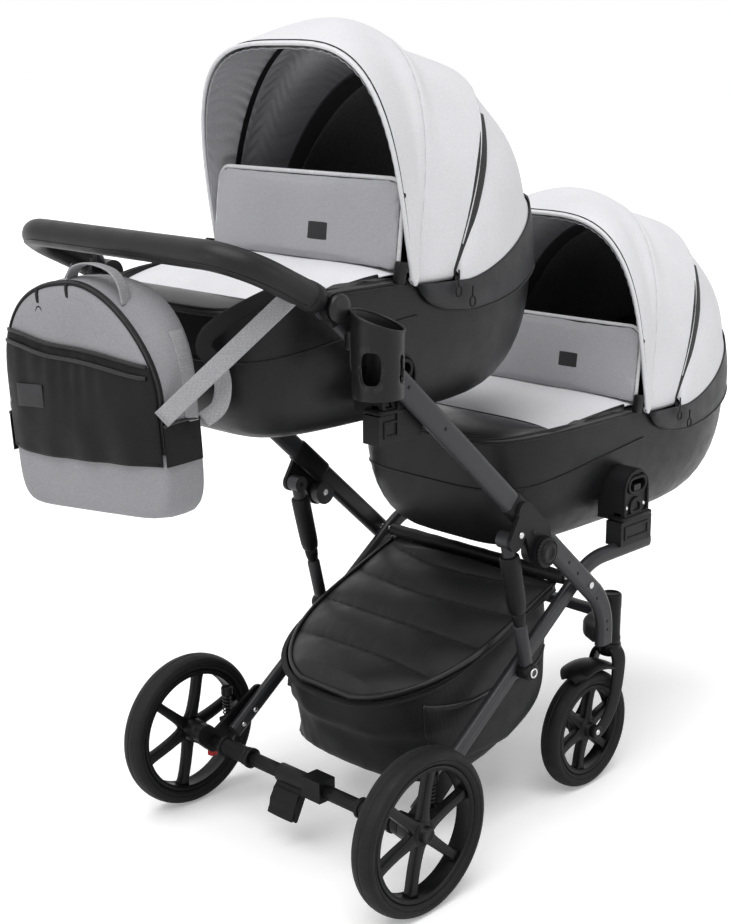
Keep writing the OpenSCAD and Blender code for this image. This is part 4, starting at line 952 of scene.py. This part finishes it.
    patch = piece(f"{cot}_flap_patch", grid(rows), None, patch_leather, thick=1.6, soften=0.5)
    for item in (flap, piping, patch):
        flap_point(0, 0, 0)
        flap_point(0, 70, 0)
        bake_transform(item)

# Hoods
# Heather cloth sewn in two gores over bows that turn on the cot's sides, with piping along the front hem.
# Inside are a gathered grey lining, a black ribbon and a mesh vent; a leatherette skirt is sewn below.
hood_cloth = heather("hood heather", (0.7, 0.7, 0.725), 0.06, grain=0.24)
# The hood seam is a real sewn seam. Its grey, darker than the hood cloth, is painted shade along the seam's
# crease.
seam_and_shade_cloth = look("hood seam and painted shade", (0.52, 0.52, 0.545), 0.85, fleck=0.12, fleck_size=2.0, grain=0.25, gloss=0.2)
lining_cloth = heather("hood lining", (0.39, 0.39, 0.41), 0.1, sheen=0.0)
ribbon_cloth = look("bow ribbon", (0.01, 0.01, 0.011), 0.6, fleck=0.15, fleck_size=2, grain=0.25, gloss=0.2)
vent_cloth = look("vent border", (0.06, 0.06, 0.064), 0.8, fleck=0.15, fleck_size=2.4, grain=0.3, gloss=0.2)
mesh_cloth = look("vent mesh", (0.09, 0.09, 0.095), 0.8, fleck=0.3, fleck_size=2.4, grain=0.4, gloss=0.2)
skirt_leather = look("skirt leatherette", (0.02, 0.0204, 0.0225), 0.46, fleck=0.1, fleck_size=6, grain=0.2,
                     grain_size=1.6, cells=True, gloss=0.24)

bows = [(-78.9, -0.168, 352), (-60.5, 0.055, 384), (-62, 0.223, 374), (-20.6, 0.24, 346), (34, 0.477, 315)]
spans = [(230, 3.5, 0), (223, 2.3, 0), (219.5, 2.5, 0), (219.5, 2.4, 0), (219, 2.65, 0)]
bow_line = curve_through([Vector(v) for v in bows], 20)
span_line = curve_through([Vector(v) for v in spans], 20)


def hood_row(u, out=0.0, count=97, drop=14, gather=0.0):
    """A line over the hood at share u from front hem to zip, from its left foot to its right, in mm."""
    k = min(79, int(u * 80))
    t = u * 80 - k
    y0, bow_lean, crown = bow_line[k].lerp(bow_line[k + 1], t)
    width, power, _ = span_line[k].lerp(span_line[k + 1], t)
    hang = drop * min(1, 0.1 + u / 0.15)
    line = [Vector((-width - 0.6 * out + 3, y0, -hang)), Vector((-width - 0.6 * out, y0, -hang / 2))]
    for i in range(count):
        a = pi * (i / (count - 1) - 0.5)
        pucker = gather * (0.35 + exp(-((u - 0.25) / 0.1) ** 2)) * sin(80 * a + 3 * sin(17 * u + 5 * a))
        z = (crown + out + pucker) * abs(cos(a)) ** (2 / power)
        x = (width + 0.6 * out + 0.6 * pucker) * bent(sin(a), power)
        line.append(Vector((x, y0 + bow_lean * z, z)))
    return line + [Vector((width + 0.6 * out, y0, -hang / 2)), Vector((width + 0.6 * out - 3, y0, -hang))]


def canopy_swell(u, i):
    """How far the canopy stands off its bows: it fills between the seams and puckers along each one."""
    fullness = 6 * abs(sin(2 * pi * u)) ** 0.7
    near = exp(-((u - 0.5) / 0.035) ** 2) + 0.6 * exp(-(u / 0.03) ** 2) + 0.8 * exp(-((u - 1) / 0.03) ** 2)
    return fullness + 0.9 * near * sin(i * 1.9) * (0.6 + 0.4 * sin(i * 0.37))


top_edge = ((-60, -13), (-52, -13), (56, -16))
low_edge = ((-60, -13), (-52, -15), (-44, -30), (-26, -47), (0, -58), (22, -65), (60, -70), (90, -72),
            (150, -67), (210, -57), (260, -44), (300, -32), (380, -20))


def skirt_top(y):
    """Height of the skirt's upper edge at y."""
    if y < 56:
        return along(top_edge, y)
    return -16 + 104 * ((y - 56) / 280) ** 1.45 * (1 - 0.1 * max(0, (y - 336) / 40))


hood_half = 229


def hood_outline(y):
    """Half the hood's width at y, at its lower edge."""
    return hood_half * max(0, 1 - (max(0, y) / 374) ** 2.3) ** (1 / 2.3)


def shell_outline(y, z):
    """Half the shell's width at y and height z, under the skirt."""
    swell = sqrt(1 - (-z / cot_deep) ** 2.6)
    half = cot_half * (0.5 + 0.5 * swell) + 3
    reach = head_reach * (0.62 + 0.38 * swell) + 5
    return half * max(0, 1 - (max(0, y) / reach) ** 2.7) ** (1 / 2.7)


def onto_hood(p, width, reach, power=2.8):
    """A point carried out from the hood pivot onto a rounded form."""
    size = (abs(p[0]) / width) ** power + (hypot(p[1], max(p[2], 0)) / reach) ** power
    return Vector((p[0], p[1], p[2])) * size ** (-1 / power)


for cot, cot_y, cot_z, foot, foot_dip in cots:

    def local(p):
        return spot(p[0], p[1] + cot_y, p[2] + cot_z)

    front, body = f"{cot}_hood_front", f"{cot}_cot"
    front_crown, zip_crown = local((0, -138, 352)), local((0, 184, 315))

    def spread(name, lines, finish, thick, replaces=()):
        """A sheet over the bows between the front bow and the cot."""
        item = piece(name, grid([[local(p) for p in line] for line in lines]), None, finish,
                     replaces=replaces, thick=thick)
        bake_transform(item)
        return item

    lines = []
    for u in shares(81):
        line = hood_row(u)
        full = hood_row(u, 10)
        lines.append([p.lerp(q, canopy_swell(u, i) / 10) for i, (p, q) in enumerate(zip(line, full))])
    spread(f"{cot}_hood_canopy", lines, hood_cloth, 1.8, (front, f"{cot}_hood_middle"))
    spread(f"{cot}_hood_lining",
           [hood_row(0.004 + 0.9 * k / 60, -8, count=321, drop=12, gather=2.4) for k in range(61)],
           lining_cloth, 1)
    ribbon = strand(f"{cot}_hood_ribbon", [local(p) for p in hood_row(0.25, -12.5, drop=12)], 12, 1.6, None,
                    ribbon_cloth, up_way=(-1, 0, 0), power=5, count=14)
    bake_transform(ribbon)
    spread(f"{cot}_hood_vent_band", [hood_row(0.88 + 0.12 * k / 10, -10.5, drop=12) for k in range(11)],
           vent_cloth, 1.2)

    hem = [local(p) for p in hood_row(0.0, 0.6)]
    strand(f"{cot}_hood_hem", hem, 7, 7, front, hood_cloth, up_way=(-1, 0, 0), count=14)
    hem_line = [local(p) for p in hood_row(0.03, 3.2)]
    strand(f"{cot}_hood_hem_line", hem_line, 2.6, 2.2, front, ribbon_cloth, up_way=(-1, 0, 0), count=8)
    # The seam strand's darker grey is painted shade along the seam.
    seam_item = strand(f"{cot}_hood_seam", [local(p) for p in hood_row(0.5, 0.7)], 3.0, 1.8, None,
                       seam_and_shade_cloth, up_way=(-1, 0, 0), count=8)
    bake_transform(seam_item)
    zip_open = 240
    for side, word in sides:
        slit = [p for p in hood_row(1.0, 3.0) if p[2] < zip_open and p[0] * side > 0]
        slit.sort(key=lambda p: -p[2])
        wide = [0.34 + 0.66 * min(1, 2.6 * k / len(slit)) - 0.25 * max(0, 2 * k / len(slit) - 1)
                for k in range(len(slit))]
        strand(f"{cot}_hood_zip_{word}", [local(p) for p in slit], 23, 3.4, body, zip_teeth,
               up_way=(side, 0, 0.3), power=4, count=14, scale=wide)
        front_edge = [p for p in hood_row(0.978, 2.4) if 40 < p[2] < zip_open + 14 and p[0] * side > 0]
        strand(f"{cot}_hood_zip_piping_{word}", [local(p) for p in front_edge], 4.2, 4.2, body,
               piping_cloth, up_way=(-1, 0, 0), count=10)

    zip_row = hood_row(1.0)[2:-2]
    edge = []
    for i in range(97):
        a = pi * (i / 96 - 0.5)
        y = 34 + 332 * abs(cos(a)) ** 0.8
        edge.append(Vector((copysign(hood_outline(y), sin(a)), y, skirt_top(y) - 8)))
    rear_rows = []
    for t in shares(33):
        rear_rows.append([])
        for i, (p, q) in enumerate(zip(zip_row, edge)):
            m = p.lerp(q, t)
            pull = 0.8 * exp(-t / 0.06) * sin(i * 1.9)
            rear_rows[-1].append(m.lerp(onto_hood(m, hood_half, 352 + pull), min(1, 4 * t * (1 - t))))
    rear = piece(f"{cot}_hood_back", grid([[local(p) for p in row] for row in rear_rows]), body, hood_cloth,
                 replaces=(f"{cot}_hood_rear",), thick=1.8)
    vent = piece(f"{cot}_hood_vent", grid([[local(p * 0.965) for p in row] for row in rear_rows]), body,
                 mesh_cloth, thick=1)

    rows = [[] for _ in range(15)]
    stitch = []
    for i in range(161):
        a = pi * (i / 160 - 0.5)
        y = -56 + 426 * abs(cos(a)) ** 0.85
        z0, z1 = skirt_top(y), min(skirt_top(y) - 0.5, along(low_edge, y))
        x0, x1 = hood_outline(y), shell_outline(y, z1)
        for row, t in zip(rows, shares(15)):
            out = 1.5 + 2.5 * sin(pi * t)
            x = x0 + (x1 - x0) * t + out
            push = out * max(0, y) / head_reach
            row.append(local((copysign(x, sin(a)) if abs(sin(a)) > 0.001 else 0, y + push,
                              z0 + (z1 - z0) * t)))
        stitch.append(local((copysign(x1 + 3, sin(a)) if abs(sin(a)) > 0.001 else 0,
                             y + 2 * max(0, y) / head_reach, z1 + 1)))
    skirt = piece(f"{cot}_hood_skirt_leather", grid(rows), body, skirt_leather,
                  replaces=(f"{cot}_hood_skirt",), thick=2)
    strand(f"{cot}_skirt_piping", stitch, 3, 3, body, shell_leather, count=8)

    for side, word in sides:
        for k, (y, z) in enumerate(((25, -32), (59, -52))):
            ring = [local((side * 236, y + 6.5 * cos(a), z + 8.5 * sin(a))) for a in turns(24)]
            strand(f"{cot}_zip_ring_{word}_{k}", ring, 3, 3, body, ribbon_cloth, up_way=(1, 0, 0),
                   closed=True)
            route = ((0, 3, 34 - 12 * k), (2.5, 1, 24), (3.5, -1, 15), (3, 0, 7))
            cord = curve_through([local((side * (233 + b), y + c, z + d)) for b, c, d in route], 5)
            strand(f"{cot}_zip_tie_{word}_{k}", cord, 3.4, 2.4, body, ribbon_cloth, up_way=(1, 0, 0))
        rivet(f"{cot}_hood_snap_{word}", (side * 228, cot_y - 95, cot_z + 127), side, 5, 2.4, front)
        rivet(f"{cot}_rim_snap_{word}", (side * 211, cot_y - 130, cot_z - 8), side, 5, 3, body)
        block = [local((side * 226, -101 + s * 0.2, 10 + s)) for s in (-17, -16, -13, 0, 13, 16, 17)]
        strand(f"{cot}_hood_hinge_{word}", block, 13, 20, front, up_way=(0, 1, 0), power=5, count=24,
               scale=(0.7, 0.9, 1, 1, 1, 0.9, 0.7))

# Handle
# A bent aluminium bar in stitched leatherette, on plastic lugs that tilt about the upper tube ends.
# Round caps on both joints are pressed to free it.
grip_leather = look("grip leatherette", (0.0085, 0.0085, 0.009), 0.38, fleck=0.15, fleck_size=6, grain=0.18,
                    grain_size=1.4, cells=True, gloss=0.26)
dress("handle_lugs", hard_plastic, 2.0)
rise = radians(26.6)
straight, bend, leg = 192, 72, 120


def handle_point(x, s):
    """A point on the handle, x to the right and s out from its pivot, in mm."""
    return spot(x, pivot_y - s * cos(rise), pivot_z + s * sin(rise))


quarter = [pi / 2 * k / 12 for k in range(1, 13)]
path = [handle_point(tube_x, 31 + 89 * k / 8) for k in range(9)]
path += [handle_point(straight + bend * cos(a), leg + bend * sin(a)) for a in quarter]
path += [handle_point(straight - 2 * straight * k / 24, leg + bend) for k in range(1, 25)]
path += [handle_point(-straight - bend * sin(a), leg + bend * cos(a)) for a in quarter]
path += [handle_point(-tube_x, leg - 89 * k / 8) for k in range(1, 9)]
strand("handle_grip_leather", path, 43, 43, "handle", grip_leather, count=32, replaces=("handle_grip",))
inner_seam = []
for i, p in enumerate(path):
    way = (path[min(i + 1, len(path) - 1)] - path[max(i - 1, 0)]).normalized()
    plane_up = Vector((0, sin(rise), cos(rise)))
    inward = plane_up.cross(way).normalized()
    inner_seam.append(p + (inward * 0.6 - plane_up * 0.8) * 0.0216)
strand("handle_grip_stitch", inner_seam, 2.2, 1.6, "handle", grip_leather, count=8)
for side, word in sides:
    leg_up = (0, sin(rise), cos(rise))
    for k, s in enumerate((50.4, 52.8)):
        ring = [handle_point(side * tube_x, s + d) for d in (-1.6, -1, 0, 1, 1.6)]
        strand(f"grip_ring_{word}_{k}", ring, 44.6, 44.6, "handle", grip_leather, up_way=leg_up, count=32,
               scale=(0.96, 0.99, 1, 0.99, 0.96))
    cover = [handle_point(side * tube_x, s) for s in (24.5, 26, 30, 40, 47, 48.5)]
    strand(f"grip_end_{word}", cover, 45, 45, "handle", up_way=leg_up, count=36,
           scale=(0.7, 0.86, 0.97, 1, 1, 0.96))
    cap = [(9, 0), (18.6, 0.3), (20.6, 1.4), (21.4, 4), (20.6, 7), (17.6, 9.6), (12, 11.2), (6, 12),
           (0.1, 12.2)]
    turned(f"tilt_cap_{word}", cap, (side * 281.3, pivot_y, pivot_z), f"handle_button_{word}",
           button_plastic, count=48, side=side)

# Bag
# A soft backpack in heather cloth, slung under the handle on webbing and hanging a little askew.
# A dark zip runs round its arch; a black front pocket with two wavy zips is gathered above a grey base.
bag_cloth = heather("bag heather", (0.265, 0.265, 0.28), 0.1, grain=0.32, sheen=0.08)
pocket_cloth = look("pocket nylon", (0.0055, 0.0055, 0.006), 0.5, fleck=0.2, fleck_size=3, grain=0.25,
                    grain_size=2, gloss=0.15)
strap_webbing = look("strap webbing", (0.33, 0.33, 0.345), 0.7, fleck=0.16, fleck_size=2, weave=0.12,
                     weave_size=2.2, grain=0.3, gloss=0.2)
bag_turn, bag_roll = radians(5.5), radians(4.5)
bag_half, bag_arch, bag_deep, bag_middle = 169, 165, 184, 900
right_shoulder, left_shoulder = 1.75, 2.6


def bag_place(x, y, z):
    """A point from the bag's own mm: x across it, y ahead of its middle, z above the ground unrolled."""
    tall = z - bag_middle
    rolled_x = x * cos(bag_roll) - tall * sin(bag_roll)
    rolled_z = bag_middle + tall * cos(bag_roll) + x * sin(bag_roll)
    ahead = -348.5 + rolled_x * sin(bag_turn) + y * cos(bag_turn)
    return spot(-26 + rolled_x * cos(bag_turn) - y * sin(bag_turn), ahead, rolled_z)


def bag_outline(a, share=1.0, shoulder=right_shoulder):
    """The bag's arched outline at angle a, drawn in to its middle by share; its right shoulder droops."""
    c, s = cos(a), sin(a)
    power = (shoulder if c > 0 else left_shoulder) if s > 0 else 8.5
    x = bag_half * bent(c, power)
    z = (bag_arch if s > 0 else bag_deep) * bent(s, power)
    return x * share, bag_middle + z * share


def bag_side(z, shoulder):
    """Half the bag's width at height z, for the power of that shoulder's curve."""
    tall, power = (bag_arch, shoulder) if z > bag_middle else (bag_deep, 8.5)
    return bag_half * max(0, 1 - (abs(z - bag_middle) / tall) ** power) ** (1 / power)


def bag_face(x, z):
    """How far the rear face stands out at a point, with the sag and creases of a filled bag."""
    low = max(0, (bag_middle - z) / bag_deep)
    tall = bag_arch if z > bag_middle else bag_deep
    rim = min(1, ((abs(x) / bag_half) ** 3 + (abs(z - bag_middle) / tall) ** 3) ** (1 / 3))
    return 52 + 7 * (1 - rim ** 3) + 5 * low * (1 - rim ** 4) + 1.1 * sin(x / 17 + z / 40) * (1 - rim ** 2)


rows = []
layers = [(0.02, 0), (0.25, 0), (0.45, 0), (0.62, 0), (0.76, 0), (0.86, 0), (0.93, 0.4), (0.97, 2.2),
          (0.992, 5.5), (1, 11)]
for share, inset in layers:
    row = []
    for i in range(128):
        x, z = bag_outline(2 * pi * i / 128, share)
        row.append(bag_place(x, -bag_face(x, z) + inset, z))
    rows.append(row)
for share, y in ((1.012, -24), (1.014, 0), (1.008, 14), (1, 21), (0.985, 25), (0.95, 27.5), (0.85, 29),
                 (0.5, 29.6), (0.02, 30)):
    row = []
    for a in turns(128):
        x, z = bag_outline(a, share, min(2.5, 2.35 + y / 60))
        fold = 1.6 * sin(5 * a) * (1 if share > 1 else 0)
        row.append(bag_place(x + fold * cos(a), y, z + fold * sin(a)))
    rows.append(row)
piece("bag_shell", grid(rows, ring=True, caps=True), "bag", bag_cloth, replaces=("bag_body",))

arch_band, arch_coil = [], []
for i in range(91):
    a = radians(-2 + 184 * i / 90)
    x, z = bag_outline(a, 0.985)
    arch_band.append(bag_place(x, -bag_face(x, z) + 4.5, z))
    x, z = bag_outline(a, 0.99)
    arch_coil.append(bag_place(x, -bag_face(x, z) + 2.6, z))
strand("bag_zip_band", arch_band, 10, 4, "bag", pocket_cloth, up_way=(1, -0.6, 0), power=4, count=16)
strand("bag_zip_coil", arch_coil, 4, 3.4, "bag", zip_teeth, up_way=(1, -0.6, 0), count=10)
for k, a in enumerate((radians(91), radians(111))):
    x, z = bag_outline(a, 0.98)
    pull = [bag_place(x + d * 0.12, -bag_face(x, z) + 1 - 2.4 * sin(pi * min(1, d / 30)), z - d)
            for d in range(0, 29, 4)]
    strand(f"bag_zip_pull_{k}", pull, 7, 2.6, "bag", pocket_cloth, up_way=(0, -1, 0), power=4, count=14)
x, z = bag_outline(radians(111), 0.98)
ring = [bag_place(x + 4 + 7 * cos(t), -bag_face(x, z) - 2, z - 35 + 9 * sin(t)) for t in turns(24)]
strand("bag_zip_ring", ring, 2.6, 2.6, "bag", pocket_cloth, up_way=(0, 1, 0), closed=True)


def pocket_top(x):
    """Height of the front pocket's wavy top at x."""
    return 967 - 0.14 * x + 2 * sin(x / 30)


def pocket_low(x):
    """Height of the seam below the front pocket at x."""
    return 800 + 10 * max(0, -x / 165) ** 4


rows = []
for t in shares(41):
    row = []
    for v in evenly(89):
        x = 160 * v
        for _ in range(4):
            x = 0.975 * bag_side(pocket_low(x) + (pocket_top(x) - pocket_low(x)) * t,
                                 right_shoulder if v > 0 else left_shoulder) * v
        z = pocket_low(x) + (pocket_top(x) - pocket_low(x)) * t
        puff = 9 * sin(pi * min(1, 0.06 + 0.97 * t)) ** 0.55 * (1 - abs(v) ** 6)
        gather = 1.5 * sin(x / 5.2 + 1.5 * sin(x / 31)) * t ** 3 * (1 - t ** 12)
        gather += 1.4 * sin(x / 13) * (1 - t)
        row.append(bag_place(x, -bag_face(x, z) - 0.8 - puff - gather * (1 - abs(v) ** 6), z))
    rows.append(row)
piece("bag_front_pocket", grid(rows), "bag", pocket_cloth, thick=1.6)
for k, (lift, proud) in enumerate(((1, 3), (-15, 10.5))):
    coil = []
    for i in range(61):
        x = 152 * (i / 30 - 1)
        z = pocket_top(x) + lift
        x *= min(1, 0.97 * bag_side(z, right_shoulder if x > 0 else left_shoulder) / 152)
        coil.append(bag_place(x, -bag_face(x, z) - proud * (1 - abs(x / 165) ** 6) - 0.6, z))
    strand(f"bag_pocket_zip_{k}", coil, 6.5, 4, "bag", zip_teeth, up_way=(0, -1, 0),
           power=3, count=12)
for k, lift in enumerate((0, 3.5)):
    seam = []
    for x in [160 * (i / 40 - 1) for i in range(81)]:
        z = pocket_low(x) + lift
        seam.append(bag_place(x, -bag_face(x, z) - 1.2 - 2 * k, z))
    strand(f"bag_base_seam_{k}", seam, 2.6, 2, "bag", bag_cloth if k == 0 else pocket_cloth,
           up_way=(0, -1, 0), count=8)
rows = []
for k in range(9):
    z = 876 + 35 * k / 8
    rows.append([])
    for i in range(13):
        x = -128 + 62 * i / 12
        sink = 0.8 * max(abs(i / 6 - 1), abs(k / 4 - 1)) ** 6
        rows[-1].append(bag_place(x, -bag_face(x, z) - 11.8 + sink, z))
piece("bag_patch", grid(rows), "bag", patch_leather, thick=1.6, soften=0.5)
for side, word in sides:
    rows, edge = [], []
    for t in shares(15):
        z = 800 + 62 * t
        row = []
        for v in evenly(25):
            puff = 1.4 + 3.5 * (1 - abs(v) ** 4) * sin(pi * min(1, 0.12 + 0.86 * t)) ** 0.6
            puff += 0.6 * sin(7 * v + 2) * t
            row.append(bag_place(side * (bag_side(z, 2.5) * 1.01 + puff), -16 + 36 * v, z - 3 * v * v * t))
        rows.append(row)
        edge = row
    piece(f"bag_side_pocket_{word}", grid(rows), "bag", pocket_cloth, thick=1.6)
    strand(f"bag_side_elastic_{word}", edge, 4, 6, "bag", elastic, count=10)
    web = [bag_place(side * (bag_side(z, 2.4 if side > 0 else left_shoulder) * 1.014 + 1.5), 4, z)
           for z in range(858, 1001, 11)]
    strand(f"bag_side_web_{word}", web, 24, 2.4, "bag", strap_webbing, up_way=(side, 0, 0), power=5,
           count=16)
spare_route = ((225, -226, 1054), (195, -251, 1035), (176, -277, 1018), (160, -300, 998), (158, -309, 978),
               (170, -304, 961), (183, -299, 941), (189, -302, 916), (188, -311, 894), (176, -328, 878))
loop_route = ((-20, 1053), (-17, 1071), (-4, 1084), (22, 1089), (48, 1086), (74, 1077), (90, 1058),
              (95, 1030))
loop = curve_through([bag_place(x, -30, z) for x, z in loop_route], 6)
strand("bag_handle_loop", loop, 20, 3.4, "bag", strap_webbing, up_way=(-1, 0, 0.2), power=5, count=16)
for side, word in sides:
    sewn = bag_place(side * 164, -65, 860)
    top = spot(side * tube_x, -226, 1060)
    facing = (side * 0.68, -0.69, 0.26)
    line = [top.lerp(sewn, 0.047 * k) for k in range(21)]
    strand(f"bag_strap_{word}", line, 28, 2.4, "bag", strap_webbing, up_way=facing, power=6, count=16,
           replaces=("bag_straps",) if side > 0 else ())
    spare = curve_through([spot(side * px, py, pz) for px, py, pz in spare_route], 6)
    # The upper run of each shoulder strap is in the black pocket nylon as painted shade on the strap's
    # shaded underside. The lower run, in the light, is the grey webbing of the same strap.
    for part, finish, run in (("upper", pocket_cloth, spare[:31]), ("lower", strap_webbing, spare[30:])):
        strand(f"bag_shoulder_strap_{part}_{word}", run, 25, 5, "bag", finish,
               up_way=facing, power=4, count=18)

# Cup holder
# A moulded cup with a mouth that falls away to one side and three slots in its wall.
# A bracket and a clip hold it to the right-hand tube.
cup_plastic = look("cup plastic", (0.0075, 0.0075, 0.008), 0.36, fleck=0.1, grain=0.12, worn=0.16,
                   gloss=0.24)
cup_x, cup_y, cup_low, cup_high, cup_radius = 318.3, -115.8, 898.3, 1026, 38.3
cup_slots = ((radians(-62), 946, 17, 26), (radians(18), 944, 7, 22), (radians(-150), 944, 12, 24))


def cup_mouth(a):
    """Height of the cup's slanting mouth at angle a."""
    return cup_high - 14.6 - 14.6 * cos(a - radians(35))


def in_slot(a, z):
    """The slot near a point of the wall: its middle, height, the way across and how far out, or None."""
    for middle, height, half_w, half_h in cup_slots:
        across = ((a - middle + pi) % (2 * pi) - pi) * cup_radius
        size = (abs(across) / half_w) ** 3 + (abs(z - height) / half_h) ** 3
        if size < 1.9:
            return middle, height, across, size
    return None


rows, keep = [], []
for k in range(49):
    row, inside = [], []
    for a in turns(144):
        z = cup_low + (cup_mouth(a) - cup_low) * k / 48
        hit = in_slot(a, z)
        inside.append(bool(hit) and hit[3] < 1)
        if hit and 0.5 < hit[3]:
            pull = hit[3] ** (-1 / 3)
            a += hit[2] * (pull - 1) / cup_radius
            z = hit[1] + (z - hit[1]) * pull
        r = cup_radius - 1.6 * (1 - k / 48) + 0.8 * max(0, k / 48 - 0.94) / 0.06
        row.append(spot(cup_x + r * cos(a), cup_y + r * sin(a), z))
    rows.append(row)
    keep.append(inside)
shape = grid(rows, ring=True,
             leave=lambda k, i: sum(keep[r][c % 144] for r in (k, k + 1) for c in (i, i + 1)) >= 3)
piece("cup_wall", shape, "push_frame", cup_plastic, replaces=("cup_holder",), thick=3.4, soften=0.6)
turned("cup_floor", [(0.1, 0), (34, 0), (36.6, 1), (38, 3.4), (36, 5), (0.1, 5)], (cup_x, cup_y, cup_low),
       "push_frame", cup_plastic, axis="Z", count=72)
mouth = [spot(cup_x + 39 * cos(a), cup_y + 39 * sin(a), cup_mouth(a)) for a in turns(96)]
strand("cup_lip", mouth, 4.8, 4.8, "push_frame", cup_plastic, closed=True)
clip = [spot(x, cup_y, 980.4) for x in (270, 271, 274, 282, 284)]
strand("cup_clip", clip, 44, 34, "push_frame", cup_plastic, power=6, count=32,
       scale=(0.9, 0.97, 1, 1, 0.95))
bracket_route = ((279, -112, 1000), (280, -118, 975), (281, -122, 950), (284, -122, 936))
bracket = curve_through([spot(x, y, z) for x, y, z in bracket_route], 5)
strand("cup_bracket", bracket, 30, 6, "push_frame", cup_plastic, up_way=(1, 0, 0), power=5, count=20)
